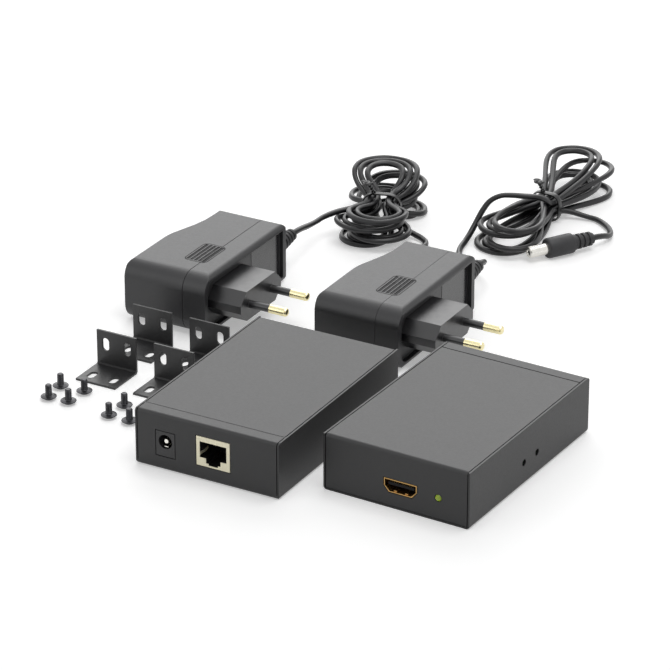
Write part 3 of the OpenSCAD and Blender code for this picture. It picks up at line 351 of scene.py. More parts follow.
def lathe(bm, profile, place, sides=40):
    """Turns a profile of (radius, height) points round Z, closed at its ends on the axis."""
    rings = [ring_at(bm, place, r, z, 1 if r < TINY else sides) for r, z in profile]
    for low, high in zip(rings, rings[1:]):
        for k in range(sides):
            k2 = (k + 1) % sides
            corners = list(dict.fromkeys((
                low[k % len(low)], low[k2 % len(low)], high[k2 % len(high)], high[k % len(high)])))
            if len(corners) > 2:
                bm.faces.new(corners)


def add_piece(bm, owner, kind, slot, *nodes, look=None, smooth=None):
    """Makes an owner's piece of a bmesh, smooth up to an angle. It may stand for CAD nodes."""
    name = f"{owner}_{kind}"
    piece = link(name, mesh_from(bm, name), finish(look or slot))
    if smooth:
        smooth_by_angle(piece.data, smooth)
    return keep(piece, owner, slot, *(f"{owner}_{node}" for node in nodes))


def dress(owner, node, kind, slot, width, look=None):
    """Stands a rounded copy of an owner's CAD node in its place."""
    name = f"{owner}_{node}"
    piece = rounded_copy(name, f"{owner}_{kind}", width, finish(look or slot))
    return keep(piece, owner, slot, name)


def tube_rings(bm, path, radius_at, place, sides, upright):
    """Rings along a path that turn as little as they can, and the length up to each."""
    side = (path[1] - path[0]).cross(upright).normalized()
    rings, travelled = [], [0.0]
    for i, p in enumerate(path):
        run = (path[min(i + 1, len(path) - 1)] - path[max(i - 1, 0)]).normalized()
        side = (side - run * side.dot(run)).normalized()
        up = side.cross(run)
        if i:
            travelled.append(travelled[-1] + (p - path[i - 1]).length)
        rings.append([
            bm.verts.new(place @ (p + (side * math.cos(a) + up * math.sin(a))
                                  * radius_at(travelled[-1], a)))
            for a in angles(sides)])
    return rings, travelled


def block(bm, low, high, place, bevel=0.0):
    """A block between two corners, its edges rounded by a width."""
    made = bmesh.ops.create_cube(bm, size=1)["verts"]
    size = Vector(high) - Vector(low)
    middle = (Vector(high) + Vector(low)) / 2
    bmesh.ops.scale(bm, vec=size, verts=made)
    bmesh.ops.translate(bm, vec=middle, verts=made)
    if bevel:
        edges = list({e for v in made for e in v.link_edges})
        made = bmesh.ops.bevel(
            bm, geom=edges, offset=bevel, segments=2, profile=0.5, affect="EDGES")["verts"]
    bmesh.ops.transform(bm, matrix=place, verts=made)


# Materials


def add_node(tree, kind, links=None, **settings):
    """Adds a node. links names sockets and what goes in: another node's output, or a value."""
    made = tree.nodes.new(kind)
    for key, value in settings.items():
        setattr(made, key, value)
    for socket, value in (links or {}).items():
        if isinstance(value, bpy.types.NodeSocket):
            tree.links.new(value, made.inputs[socket])
        else:
            made.inputs[socket].default_value = value
    return made


def new_material(name, **shader):
    """A material with one Principled shader, whose plain sockets are set here."""
    material = bpy.data.materials.new(name)
    material.use_nodes = True
    tree = material.node_tree
    tree.nodes.clear()
    body = add_node(tree, "ShaderNodeBsdfPrincipled", shader)
    add_node(tree, "ShaderNodeOutputMaterial", {"Surface": body.outputs["BSDF"]})
    return material, tree, body


def speckle(tree, grain_mm, detail=2.0):
    """Noise whose grain is a real size in millimetres, on object coordinates."""
    where = add_node(tree, "ShaderNodeTexCoord").outputs["Object"]
    return add_node(tree, "ShaderNodeTexNoise", {
        "Vector": where, "Scale": 1 / (grain_mm * MM), "Detail": detail}).outputs["Fac"]


def shaded_range(tree, factor, low, high):
    """Maps a factor of about 0.3 to 0.7 onto a range of numbers."""
    return add_node(tree, "ShaderNodeMapRange", {
        "Value": factor, "From Min": 0.3, "From Max": 0.7, "To Min": low,
        "To Max": high}).outputs["Result"]


def varied_colour(tree, base, share, factor):
    """The base colour, darker and lighter by a share where a factor goes from 0 to 1."""
    ramp = add_node(tree, "ShaderNodeValToRGB", {"Fac": factor})
    for element, gain in zip(ramp.color_ramp.elements, (1 - share, 1 + share)):
        element.color = (*(min(1.0, c * gain) for c in base[:3]), 1.0)
    ramp.color_ramp.elements[0].position = 0.3
    ramp.color_ramp.elements[1].position = 0.7
    return ramp.outputs["Color"]


def bump(tree, height, depth_mm):
    """A bump of a real depth in millimetres."""
    return add_node(tree, "ShaderNodeBump", {
        "Height": height, "Distance": depth_mm * MM, "Strength": 1.0}).outputs["Normal"]


def seen_rays(tree):
    """One for rays from the camera and for those that mirror or glass sends on, and else zero."""
    rays = add_node(tree, "ShaderNodeLightPath").outputs
    direct = add_node(tree, "ShaderNodeMath", {
        0: rays["Is Camera Ray"], 1: rays["Is Glossy Ray"]}, operation="MAXIMUM").outputs[0]
    return add_node(tree, "ShaderNodeMath", {
        0: direct, 1: rays["Is Transmission Ray"]}, operation="MAXIMUM").outputs[0]


def finish_with(tree, body, colour, rough, normal):
    """Joins a colour, a roughness and a normal to the shader."""
    tree.links.new(colour, body.inputs["Base Color"])
    tree.links.new(rough, body.inputs["Roughness"])
    tree.links.new(normal, body.inputs["Normal"])


def grained(name, base, grain_mm, depth_mm, rough, share=0.08, patch_mm=9.0, **shader):
    """A finish with a fine raised grain, and faint broad changes of tone and gloss."""
    material, tree, body = new_material(name, **shader)
    grain = speckle(tree, grain_mm, 3.0)
    patch = speckle(tree, patch_mm, 3.0)
    finish_with(tree, body, varied_colour(tree, base, share, patch),
                shaded_range(tree, speckle(tree, patch_mm / 3), *rough),
                bump(tree, grain, depth_mm))
    return material


def powder_coat(colour):
    """Satin powder coat on folded steel: a fine orange peel that spreads the highlights."""
    # The real peel is about 0.1 mm across. It is drawn at 0.5 mm, so that it shows.
    return grained("powder_coated_steel", colour, 0.5, 0.03, (0.44, 0.48), 0.03, 3.0,
                   **{"IOR": 1.5, "Specular IOR Level": 0.5})


def moulded_abs(colour):
    """Spark-eroded ABS and polycarbonate: a soft sheen over a fine even grain."""
    return grained("moulded_abs", colour, 0.45, 0.03, (0.4, 0.44), 0.03, 4.0,
                   **{"IOR": 1.53, "Specular IOR Level": 0.52})


def plug_nylon():
    """Moulded nylon of the plug body: smoother and a little glossier than the shells."""
    return grained("moulded_nylon", linear("#1b1b1d"), 0.6, 0.015, (0.3, 0.36), 0.04,
                   **{"IOR": 1.53, "Specular IOR Level": 0.75})


def label_film():
    """Glossy polyester film of a bare rating label."""
    return grained("polyester_film", linear("#232325"), 2.5, 0.004, (0.16, 0.24), 0.08,
                   **{"IOR": 1.6})


def socket_plastic_and_groove_shade():
    """Matt black polyester of sockets, with little sheen. The grip pads' painted shade takes the
    same nearly black look.
    """
    return grained("glass_filled_polyester_and_painted_shade", linear("#131314"), 0.4, 0.02, (0.5, 0.62), 0.1,
                   **{"IOR": 1.55, "Specular IOR Level": 0.15})


def socket_nylon():
    """Satin black nylon of the power sockets' bodies, close to the paint in tone."""
    return grained("glass_filled_nylon", linear("#242425"), 0.4, 0.02, (0.42, 0.5), 0.06,
                   **{"IOR": 1.53, "Specular IOR Level": 0.5})


def cord_jacket(colour):
    """Soft PVC jacket: satin, with faint lengthwise drawing marks and scuffs."""
    material, tree, body = new_material("pvc_jacket", **{"IOR": 1.53, "Specular IOR Level": 0.42})
    along = add_node(tree, "ShaderNodeUVMap", uv_map="along")
    stretched = add_node(tree, "ShaderNodeMapping", {
        "Vector": along.outputs["UV"], "Scale": (1 / (14 * MM), 14.0, 1.0)})
    marks = add_node(tree, "ShaderNodeTexNoise", {
        "Vector": stretched.outputs["Vector"], "Scale": 1.0, "Detail": 3.0}).outputs["Fac"]
    finish_with(tree, body, varied_colour(tree, colour, 0.12, speckle(tree, 6.0)),
                shaded_range(tree, marks, 0.28, 0.38), bump(tree, marks, 0.02))
    return material


def relief_rubber():
    """Thermoplastic rubber of the strain reliefs and plug grips: matt and slightly dusty."""
    return grained("thermoplastic_rubber", linear("#2a2a2c"), 0.5, 0.02, (0.48, 0.6), 0.12,
                   **{"IOR": 1.5})


def tie_plastic():
    """Smooth PVC over the tie's wire: glossy, with creases."""
    return grained("tie_pvc", linear("#161617"), 1.2, 0.05, (0.24, 0.36), 0.1,
                   **{"IOR": 1.53})


def electro_coat(colour):
    """Black electro-coat on pressed steel: thin and even, satin, paler on its cut edges."""
    return grained("electro_coated_steel", colour, 0.5, 0.012, (0.34, 0.46), 0.12, 5.0,
                   **{"IOR": 1.5, "Specular IOR Level": 0.6})


def black_zinc():
    """Black passivated zinc on steel screws: a dark metal with a cloudy gloss."""
    return grained("black_zinc", linear("#3c3c3f"), 0.5, 0.01, (0.26, 0.42), 0.25, 1.5,
                   Metallic=0.75)


def bright_zinc():
    """Bright zinc plate on steel screws: bluish grey metal with a soft shine."""
    return grained("bright_zinc", linear("#a9abb0"), 0.4, 0.008, (0.25, 0.38), 0.08, 2.0,
                   Metallic=1.0)


def tinned_brass():
    """Tinned brass of the network socket's shield: a warm pale metal, rolled smooth."""
    material, tree, body = new_material("tinned_brass", Metallic=0.45)
    rolled = add_node(tree, "ShaderNodeMapping", {
        "Vector": add_node(tree, "ShaderNodeTexCoord").outputs["Object"],
        "Scale": (1 / (0.25 * MM), 1 / (6 * MM), 1 / (6 * MM))})
    lines = add_node(tree, "ShaderNodeTexNoise", {
        "Vector": rolled.outputs["Vector"], "Scale": 1.0, "Detail": 4.0}).outputs["Fac"]
    finish_with(tree, body, varied_colour(tree, linear("#ece6cb"), 0.06, lines),
                shaded_range(tree, lines, 0.28, 0.42), bump(tree, lines, 0.01))
    return material


def gold_flash(name, hex_code, rough):
    """Gold flash over nickel: a warm metal with a low even gloss."""
    return grained(name, linear(hex_code), 0.3, 0.006, rough, 0.1, 2.0, Metallic=1.0)


def nickel(name, hex_code):
    """Bright nickel plate on turned brass, with faint turning marks."""
    return grained(name, linear(hex_code), 0.5, 0.006, (0.16, 0.28), 0.06, 3.0, Metallic=1.0)


def lamp_epoxy():
    """Diffused green epoxy of an unlit lamp, cloudy inside, with a faint painted glow."""
    # Painted glow: the unlit lamp's epoxy is given a weak green emission.
    material, tree, body = new_material("diffused_epoxy", **{
        "IOR": 1.54, "Transmission Weight": 0.25, "Subsurface Weight": 0.25,
        "Subsurface Scale": 1 * MM, "Emission Color": linear("#a9c21e"),
        "Emission Strength": 0.08})
    cloud = speckle(tree, 1.2)
    finish_with(tree, body, varied_colour(tree, linear("#a9c21e"), 0.16, cloud),
                shaded_range(tree, cloud, 0.14, 0.24), bump(tree, cloud, 0.01))
    return material


def solder_mask():
    """Green solder mask over copper tracks, which show as lighter raised lines."""
    material, tree, body = new_material("solder_mask", **{"IOR": 1.5, "Coat Weight": 0.3})
    where = add_node(tree, "ShaderNodeTexCoord").outputs["Object"]
    tracks = add_node(tree, "ShaderNodeTexBrick", {
        "Vector": where, "Scale": 1 / (9 * MM), "Mortar Size": 0.035, "Mortar Smooth": 0.2,
        "Color1": linear("#1c4a2c"), "Color2": linear("#215634"), "Mortar": linear("#3a7a48")})
    finish_with(tree, body, tracks.outputs["Color"],
                shaded_range(tree, speckle(tree, 3.0), 0.28, 0.4),
                bump(tree, tracks.outputs["Fac"], 0.03))
    return material


def mould_compound():
    """Epoxy mould compound of the chips: dull and faintly sandy."""
    return grained("epoxy_mould_compound", linear("#242426"), 0.3, 0.01, (0.45, 0.6), 0.1)


def paper_phenolic():
    """Phenolic paper of the adapters' inner cards: brown, with a dry gloss."""
    return grained("paper_phenolic", linear("#8a6436"), 0.8, 0.02, (0.5, 0.65), 0.12)


def make_materials(colours):
    """All finishes by the record's slot names, and the power sockets' own."""
    paint = powder_coat(colours.paint)
    return {
        "case_sheet": paint,
        "cover_sheet": paint,
        "zinc_screw": bright_zinc(),
        "board_green": solder_mask(),
        "brass_post": nickel("turned_brass", "#b89b62"),
        "chip_black": mould_compound(),
        "shield_tin": tinned_brass(),
        "socket_black": socket_plastic_and_groove_shade(),
        "socket_body": socket_nylon(),
        "contact_gold": gold_flash("gold_flash", "#d2a95a", (0.2, 0.34)),
        "contact_tin": nickel("bright_nickel", "#e4e2da"),
        "video_gold": gold_flash("gold_flash_shell", "#c09a62", (0.26, 0.4)),
        "lamp_green": lamp_epoxy(),
        "adapter_case": moulded_abs(colours.shell),
        "plug_body": plug_nylon(),
        "label_film": label_film(),
        "pin_plate": nickel("nickel_on_brass", "#e6dcb0"),
        "inner_card": paper_phenolic(),
        "relief_rubber": relief_rubber(),
        "cord_black": cord_jacket(colours.cord),
        "tie_black": tie_plastic(),
        "grip_black": relief_rubber(),
        "barrel_nickel": nickel("nickel_plate", "#dcdad4"),
        "bracket_black": electro_coat(colours.bracket),
        "screw_black": black_zinc(),
    }


MATERIALS = {}


def finish(slot):
    """The material of a slot, made on first use."""
    if not MATERIALS:
        MATERIALS.update(make_materials(bpy.context.scene.extender_colours))
    return MATERIALS[slot]


def paint_nodes(slots):
    """Gives each CAD node that stays in view the material of its slot."""
    for part in frame["record"]["subparts"]:
        if part["material_slot"] in slots:
            node = frame["nodes"][part["node"]]
            node.data.materials.clear()
            node.data.materials.append(finish(part["material_slot"]))
            for place in node.material_slots:
                place.material = finish(part["material_slot"])


# Geometry nodes that set one piece at each of many places


def scatter_tree(name):
    """A tree that sets a piece on each point, turned by a seeded angle, and joins them."""
    tree = bpy.data.node_groups.new(name, "GeometryNodeTree")
    face = tree.interface
    face.new_socket("Geometry", in_out="INPUT", socket_type="NodeSocketGeometry")
    face.new_socket("Piece", in_out="INPUT", socket_type="NodeSocketObject")
    spin = face.new_socket("Spin", in_out="INPUT", socket_type="NodeSocketFloat")
    spin.subtype = "ANGLE"
    face.new_socket("Seed", in_out="INPUT", socket_type="NodeSocketInt")
    face.new_socket("Material", in_out="INPUT", socket_type="NodeSocketMaterial")
    face.new_socket("Geometry", in_out="OUTPUT", socket_type="NodeSocketGeometry")
    given = add_node(tree, "NodeGroupInput").outputs
    piece = add_node(tree, "GeometryNodeObjectInfo", {"Object": given["Piece"]})
    angle = add_node(tree, "FunctionNodeRandomValue", {
        "Max": given["Spin"], "Seed": given["Seed"]}, data_type="FLOAT")
    turn = add_node(tree, "ShaderNodeCombineXYZ", {"Z": angle.outputs["Value"]})
    placed = add_node(tree, "GeometryNodeInstanceOnPoints", {
        "Points": given["Geometry"], "Instance": piece.outputs["Geometry"],
        "Rotation": turn.outputs["Vector"]})
    real = add_node(tree, "GeometryNodeRealizeInstances", {
        "Geometry": placed.outputs["Instances"]})
    coated = add_node(tree, "GeometryNodeSetMaterial", {
        "Geometry": real.outputs["Geometry"], "Material": given["Material"]})
    add_node(tree, "NodeGroupOutput", {"Geometry": coated.outputs["Geometry"]})
    return tree


def scatter(name, shape, places, material, spin=0.0, seed=3):
    """Sets a shape, a mesh in metres, at each place, as one plain mesh."""
    tree = bpy.data.node_groups.get("set_at_places") or scatter_tree("set_at_places")
    pattern = link(name + "_pattern", shape)
    points = bpy.data.meshes.new(name)
    points.from_pydata([tuple(p) for p in places], [], [])
    piece = link(name, points)
    modifier = piece.modifiers.new("places", "NODES")
    modifier.node_group = tree
    given = {"Piece": pattern, "Spin": spin, "Seed": seed, "Material": material}
    for item in tree.interface.items_tree:
        if item.in_out == "INPUT" and item.name in given:
            modifier[item.identifier] = given[item.name]
    bpy.context.view_layer.update()
    bake(piece)
    bpy.data.objects.remove(pattern)
    smooth_by_angle(piece.data, 30)
    return piece


# Cords


def hank_local(hank, t):
    """The strand's middle at turn t in the hank's own frame, with the scene's waist and fan."""
    _, _, loops, _, near, far, near_rise, far_rise, hand, tight, fans = hank
    s = (t - math.floor(t)) * 4
    if s < 0.5:
        side, run, arc = -1, s * 2, 0
    elif s < 1.5:
        a = (s - 0.5) * math.pi
        side, run, arc = -math.cos(a), 1, math.sin(a)
    elif s < 2.5:
        side, run, arc = 1, 1 - (s - 1.5) * 2, 0
    elif s < 3.5:
        a = (s - 2.5) * math.pi
        side, run, arc = math.cos(a), -1, -math.sin(a)
    else:
        side, run, arc = -1, (s - 3.5) * 2 - 1, 0
    out = abs(1 - (t / loops - 2 * math.floor(t / loops / 2)))
    layer = HANK_LAYERS - 1
    for k in range(1, HANK_LAYERS):
        c = max(0.0, min(1.0, (t - k * loops + CLIMB) / (2 * CLIMB)))
        layer -= c * c * (3 - 2 * c)
    bow = CORD_D * 3 + loops * HANK_STEP * out
    packed = WAIST_CORE + (bow - CORD_D * 3) * tight
    waist = math.cos(math.pi / 2 * run) ** 2
    shares, length, rise = (
        (FAR_SHARES, far, far_rise) if run > 0 else (NEAR_SHARES, near, near_rise))
    low = int(math.floor(layer))
    high = min(low + 1, HANK_LAYERS - 1)
    reach = length * (1 + shares[low] + (shares[high] - shares[low]) * (layer - low))
    fan = math.radians(fans[low] + (fans[high] - fans[low]) * (layer - low)) * (1 - waist)
    lift = rise * layer / (HANK_LAYERS - 1) * (1 - waist) ** 2
    x = hand * side * (bow + (packed - bow) * waist)
    y = run * reach + arc * bow
    return Vector((
        x * math.cos(fan) - y * math.sin(fan),
        x * math.sin(fan) + y * math.cos(fan),
        CORD_D / 2 + layer * LAYER_H + HANK_LIFT * waist + lift))


def hank_place(hank):
    """The matrix from a hank's own millimetres to the row's millimetres."""
    return Matrix.Translation((*hank[0], 0)) @ Matrix.Rotation(math.radians(hank[1]), 4, "Z")


def hank_points(hank):
    """The hank's whole path, with its straight ends."""
    place = hank_place(hank)
    turns, hand = hank[3], hank[8]
    points = [hank_local(hank, i / RINGS_A_LOOP) for i in range(int(turns * RINGS_A_LOOP) + 1)]
    whole = turns == math.floor(turns)
    step = (-hand * END_LEAN, CORD_D) if whole else (hand * END_LEAN, -CORD_D)
    start = points[0] + Vector((-hand * END_LEAN, -CORD_D, 0))
    stop = points[-1] + Vector((*step, 0))
    return [place @ p for p in (start, *points, stop)]


def cord_points(adapter):
    """The whole cord's path in millimetres: lead, hank and tail."""
    free = [Vector(p) for p in LEADS[adapter]]
    tail = [Vector(p) for p in TAILS[adapter]]
    return free + hank_points(HANKS[adapter]) + tail


def smooth_path(points, step):
    """A path through the points as a Catmull-Rom curve, cut into steps of about one length."""
    ends = [points[0] * 2 - points[1], *points, points[-1] * 2 - points[-2]]
    path = []
    for a, b, c, d in zip(ends, ends[1:], ends[2:], ends[3:]):
        count = max(1, round((c - b).length / step))
        ta = (b - a).length ** 0.5
        tb = ta + (c - b).length ** 0.5
        tc = tb + (d - c).length ** 0.5
        for k in range(count):
            t = ta + (tb - ta) * k / count
            p = a.lerp(b, t / ta)
            q = b.lerp(c, (t - ta) / (tb - ta))
            r = c.lerp(d, (t - tb) / (tc - tb))
            early, late = p.lerp(q, t / tb), q.lerp(r, (t - ta) / (tc - ta))
            path.append(early.lerp(late, (t - ta) / (tb - ta)))
    path.append(points[-1])
    return path


def path_length(points):
    """Length of a path."""
    return sum((b - a).length for a, b in zip(points, points[1:]))


def strand_pairs(path, apart):
    """Places of the path that lie near each other, but not next to each other along it."""
    gaps = np.linalg.norm(path[:, None] - path[None], axis=2)
    first, second = np.nonzero(gaps < apart)
    far = second - first > SETTLE_SKIP
    return first[far], second[far]


def even_path(adapter):
    """The cord's path in even steps, and how free each place is to settle."""
    rough = np.array([tuple(p) for p in smooth_path(cord_points(adapter), 1.0)])
    along = np.concatenate(([0.0], np.cumsum(np.linalg.norm(np.diff(rough, axis=0), axis=1))))
    even = np.linspace(0, along[-1], round(CORD_LENGTHS[adapter] / SETTLE_STEP) + 1)
    path = np.stack([np.interp(even, along, rough[:, k]) for k in range(3)], axis=1)
    lead = path_length([Vector(p) for p in LEADS[adapter]])
    tail = along[-1] - path_length([Vector(p) for p in TAILS[adapter]])
    from_lead = np.clip((even - lead) / FREE_RAMP + 1, 0, 1)
    to_tail = np.clip((tail - even) / FREE_RAMP + 1, 0, 1)
    return path, (from_lead * to_tail)[:, None]


def pushed_apart(path, first, second):
    """The move that pushes strands apart to their gap."""
    move = np.zeros_like(path)
    apart = path[first] - path[second]
    gap = np.linalg.norm(apart, axis=1, keepdims=True)
    push = apart / gap * np.clip(STRAND_GAP - gap, 0, None) * PUSH_SHARE
    np.add.at(move, first, push)
    np.add.at(move, second, -push)
    return move


def open_folds(path, move):
    """Adds the move that opens folds with more sag than the cord's own stiffness lets stand."""
    reach = SAG_REACH
    sag = (path[:-2 * reach] + path[2 * reach:]) / 2 - path[reach:-reach]
    size = np.linalg.norm(sag, axis=1, keepdims=True)
    opened = sag * np.clip(1 - SAG_MOST / np.maximum(size, TINY), 0, 1) * OPEN_SHARE
    move[reach:-reach] += opened
    move[:-2 * reach] -= opened / 2
    move[2 * reach:] -= opened / 2


def draw_in(path, move, middle, along, cinch):
    """Adds the move by which the tie draws the waist's strands in to its radius."""
    off = path - middle
    run = off @ along
    off = off - run[:, None] * along
    out = np.linalg.norm(off, axis=1, keepdims=True)
    near = np.exp(-(run / TIE_W) ** 2)[:, None]
    move -= off * np.clip(1 - cinch / np.maximum(out, TINY), 0, 1) * near * CINCH_SHARE


def keep_links(path, free):
    """Brings the path's links back to their one length, first the even ones, then the odd."""
    for start in (0, 1) * LINK_PASSES:
        a, b = path[start:-1:2], path[start + 1::2]
        a, b = a[:len(b)], b[:len(a)]
        link_run = b - a
        size = np.linalg.norm(link_run, axis=1, keepdims=True)
        pull = link_run * (1 - SETTLE_STEP / size) / 2
        path[start:-1:2][:len(b)] += pull * free[start:-1:2][:len(b)]
        path[start + 1::2][:len(b)] -= pull * free[start + 1::2][:len(b)]


def settle(adapter):
    """The wound cord as it lies: folds open, strands side by side, and the tie drawn in."""
    path, free = even_path(adapter)
    (middle_x, middle_y), heading = HANKS[adapter][:2]
    turn = math.radians(heading)
    along = np.array((-math.sin(turn), math.cos(turn), 0))
    cinch = CINCHES[adapter]
    middle = np.array((middle_x, middle_y, CORD_D / 2 + cinch))
    for k in range(SETTLE_ROUNDS):
        if k % PAIR_ROUNDS == 0:
            first, second = strand_pairs(path, STRAND_GAP + PAIR_REACH)
        move = pushed_apart(path, first, second)
        open_folds(path, move)
        draw_in(path, move, middle, along, cinch)
        path = path + move * free
        keep_links(path, free)
        path[:, 2] = np.maximum(path[:, 2], CORD_D / 2)
    for _ in range(SMOOTH_PASSES):
        drift = path[:-2] / 2 + path[2:] / 2 - path[1:-1]
        path[1:-1] += drift * SMOOTH_SHARE * free[1:-1]
    return [Vector(p) for p in path]


PATHS = {}


def cord_path(adapter):
    """The settled path of an adapter's cord, worked out once."""
    if adapter not in PATHS:
        PATHS[adapter] = settle(adapter)
    return PATHS[adapter]


def sweep(name, path, section, material):
    """A closed tube along a path in millimetres. section gives the radius at a place and angle."""
    bm = bmesh.new()
    uv = bm.loops.layers.uv.new("along")
    upright = Vector((0, 0, 1))
    rings, travelled = tube_rings(bm, path, section, Matrix.Scale(MM, 4), CORD_SIDES, upright)
    for count, made in enumerate(bridge(bm, rings, capped=True)):
        i, k = divmod(count, CORD_SIDES)
        corners = ((i, k), (i, k + 1), (i + 1, k + 1), (i + 1, k))
        for loop, (j, turn) in zip(made.loops, corners):
            loop[uv].uv = (travelled[j] * MM, turn / CORD_SIDES)
    bmesh.ops.recalc_face_normals(bm, faces=bm.faces)
    mesh = bpy.data.meshes.new(name)
    bm.to_mesh(mesh)
    bm.free()
    piece = link(name, mesh, material)
    smooth_by_angle(mesh, 60)
    return piece


class EXTENDER_OT_cords(bpy.types.Operator):
    """Build both adapters' cords, each one twin-core cord from its relief to its plug"""
    bl_idname = "extender.cords"
    bl_label = "Cords"

    def execute(self, context):
        groove = context.scene.extender_sizes.cord_groove / MM
        twist = 2 * math.pi / CORD_TWIST

        def section(along, a):
            valley = math.cos(a + along * twist) ** 2
            return CORD_D / 2 - groove * max(0.0, valley - VALLEY_FROM) / (1 - VALLEY_FROM)

        for adapter in ADAPTERS:
            path = cord_path(adapter)
            cord = sweep(adapter + "_cord", path, section, finish("cord_black"))
            keep(cord, adapter, "cord_black",
                 adapter + "_lead", adapter + "_hank", adapter + "_tail")
        return {"FINISHED"}


def plug_place(adapter):
    """The low-voltage plug's own frame: Z along the plug, from the cord's end."""
    last, before = Vector(TAILS[adapter][-1]), Vector(TAILS[adapter][-2])
    run = (last - before).normalized()
    turn = Vector((0, 0, 1)).rotation_difference(run).to_matrix().to_4x4()
    return Matrix.Scale(MM, 4) @ Matrix.Translation(last) @ turn


def ribbed_relief(first, last, length, ribs, neck=0.75, gap=0.42, soft=0.16):
    """Profile of a ribbed strain relief that goes from one radius to another."""
    profile = []
    pitch = length / ribs
    for i in range(ribs):
        z = i * pitch
        r = first + (last - first) * (i + 0.5) / ribs
        groove = r - neck
        profile += [(groove, z), (groove, z + pitch * gap), (r - soft, z + pitch * gap),
                    (r, z + pitch * gap + soft), (r, z + pitch - soft), (r - soft, z + pitch)]
    return profile


class EXTENDER_OT_low_voltage_plugs(bpy.types.Operator):
    """Build the low-voltage plugs: ribbed relief, moulded grip and bored barrel"""
    bl_idname = "extender.low_voltage_plugs"
    bl_label = "Low-voltage Plugs"

    def execute(self, context):
        for adapter in ADAPTERS:
            self.grip(adapter)
            self.barrel(adapter)
        return {"FINISHED"}

    def grip(self, adapter):
        """The ribbed relief and the moulded grip, in one piece with softened rims."""
        r, top, soft = GRIP_D / 2, RELIEF_L + GRIP_L, 0.7
        root = ((0, 0.02), (CORD_D / 2 + 0.5, 0.02))
        relief = ribbed_relief(CORD_D / 2 + 1.9, 3.75, RELIEF_L, 4)
        foot = ((r - 0.9, RELIEF_L), (r - soft, RELIEF_L + 0.1), (r - 0.2, RELIEF_L + 0.4),
                (r, RELIEF_L + 1.0))
        head = ((r, top - 1.0), (r - 0.25, top - 0.4), (r - soft, top - 0.05),
                (BARREL_D / 2 + 0.25, top), (0, top))
        bm = bmesh.new()
        lathe(bm, (*root, *relief, *foot, *head), plug_place(adapter), 48)
        add_piece(bm, adapter, "plug_grip", "grip_black", "dc_plug", smooth=SHARP_EDGE)

    def barrel(self, adapter):
        """The plated barrel, open at its end, with both rims chamfered."""
        outer, bore, rim = BARREL_D / 2, BARREL_BORE / 2, RELIEF_L + GRIP_L
        profile = ((0, 0.9), (bore, 0.9), (bore, BARREL_L - 0.25), (bore + 0.25, BARREL_L),
                   (outer - 0.3, BARREL_L), (outer, BARREL_L - 0.3), (outer, 0), (0, 0))
        bm = bmesh.new()
        lathe(bm, [(r, rim + z) for r, z in profile], plug_place(adapter), 48)
        add_piece(bm, adapter, "plug_barrel", "barrel_nickel", "dc_barrel", smooth=SHARP_EDGE)


def rounded_loop(low, high, radius):
    """Points of a rounded rectangle between two corners, from its top middle."""
    corners = ((high[0], high[1], 90), (high[0], low[1], 0), (low[0], low[1], -90),
               (low[0], high[1], 180))
    points = [((low[0] + high[0]) / 2, high[1])]
    for x, z, start in corners:
        cx = x - radius if x == high[0] else x + radius
        cz = z - radius if z == high[1] else z + radius
        for k in range(ROUND_STEPS + 1):
            a = math.radians(start - 90 * k / ROUND_STEPS)
            points.append((cx + radius * math.cos(a), cz + radius * math.sin(a)))
    return points


class EXTENDER_OT_wire_ties(bpy.types.Operator):
    """Build the wire ties: a flat band round each hank's waist, its two ends twisted on top"""
    bl_idname = "extender.wire_ties"
    bl_label = "Wire Ties"

    def execute(self, context):
        for adapter in ADAPTERS:
            place = hank_place(HANKS[adapter])
            home = place.inverted()
            held = [p for p in (home @ q for q in cord_path(adapter))
                    if abs(p.y) < TIE_W / 2 and abs(p.x) < 2 * CINCHES[adapter]]
            reach = CORD_D / 2 + TIE_GAP / 4
            low = (min(p.x for p in held) - reach,
                   max(TIE_T, min(p.z for p in held) - reach))
            high = (max(p.x for p in held) + reach, max(p.z for p in held) + reach)
            place = Matrix.Scale(MM, 4) @ place
            bm = bmesh.new()
            self.band(bm, low, high, CINCHES[adapter] * TIE_ROUND, place)
            self.knot(bm, Vector((low[0] + KNOT_X, 0, high[1] + TIE_T * 0.6)), place)
            add_piece(bm, adapter, "wire_tie", "tie_black", "tie", smooth=SOFT_EDGE)
        return {"FINISHED"}

    def band(self, bm, low, high, round_by, place):
        """The band, thinner at its two rims."""
        inner = rounded_loop(low, high, round_by)
        outer = rounded_loop([c - TIE_T for c in low], [c + TIE_T for c in high],
                             round_by + TIE_T)
        half, flat = TIE_W / 2, TIE_W / 5
        rows = []
        for (ix, iz), (ox, oz) in zip(inner, outer):
            ring = [(ix, -half, iz), (ix, half, iz)]
            for y, thin in ((half, TIE_CROWN), (flat, 0), (-flat, 0), (-half, TIE_CROWN)):
                ring.append((ox + (ix - ox) * thin, y, oz + (iz - oz) * thin))
            rows.append([bm.verts.new(place @ Vector(p)) for p in ring])
        bridge(bm, rows, closed=True)

    def knot(self, bm, at, place):
        """The tie's two ends, twisted round each other and spread at their tips."""
        for phase, spread_by in ((0, 0.6), (math.pi, 1)):
            strand = []
            for k in range(KNOT_STEPS + 1):
                t = k / KNOT_STEPS
                a = phase + t * math.pi * KNOT_HALF_TURNS
                r = KNOT_R + max(0, t - KNOT_OPENS) * KNOT_SPREAD * spread_by
                strand.append(at + Vector((
                    r * math.cos(a) - KNOT_LEAN * t,
                    r * math.sin(a) * KNOT_FLAT + KNOT_SIDE * t * t,
                    KNOT_RISE + KNOT_H * math.sin(t * math.pi * KNOT_BOW))))
            upright = Vector((0, 0.3, 1))
            rings, _ = tube_rings(bm, strand, lambda along, a: WIRE_R, place, WIRE_SIDES, upright)
            bridge(bm, rings, capped=True)


# Cases


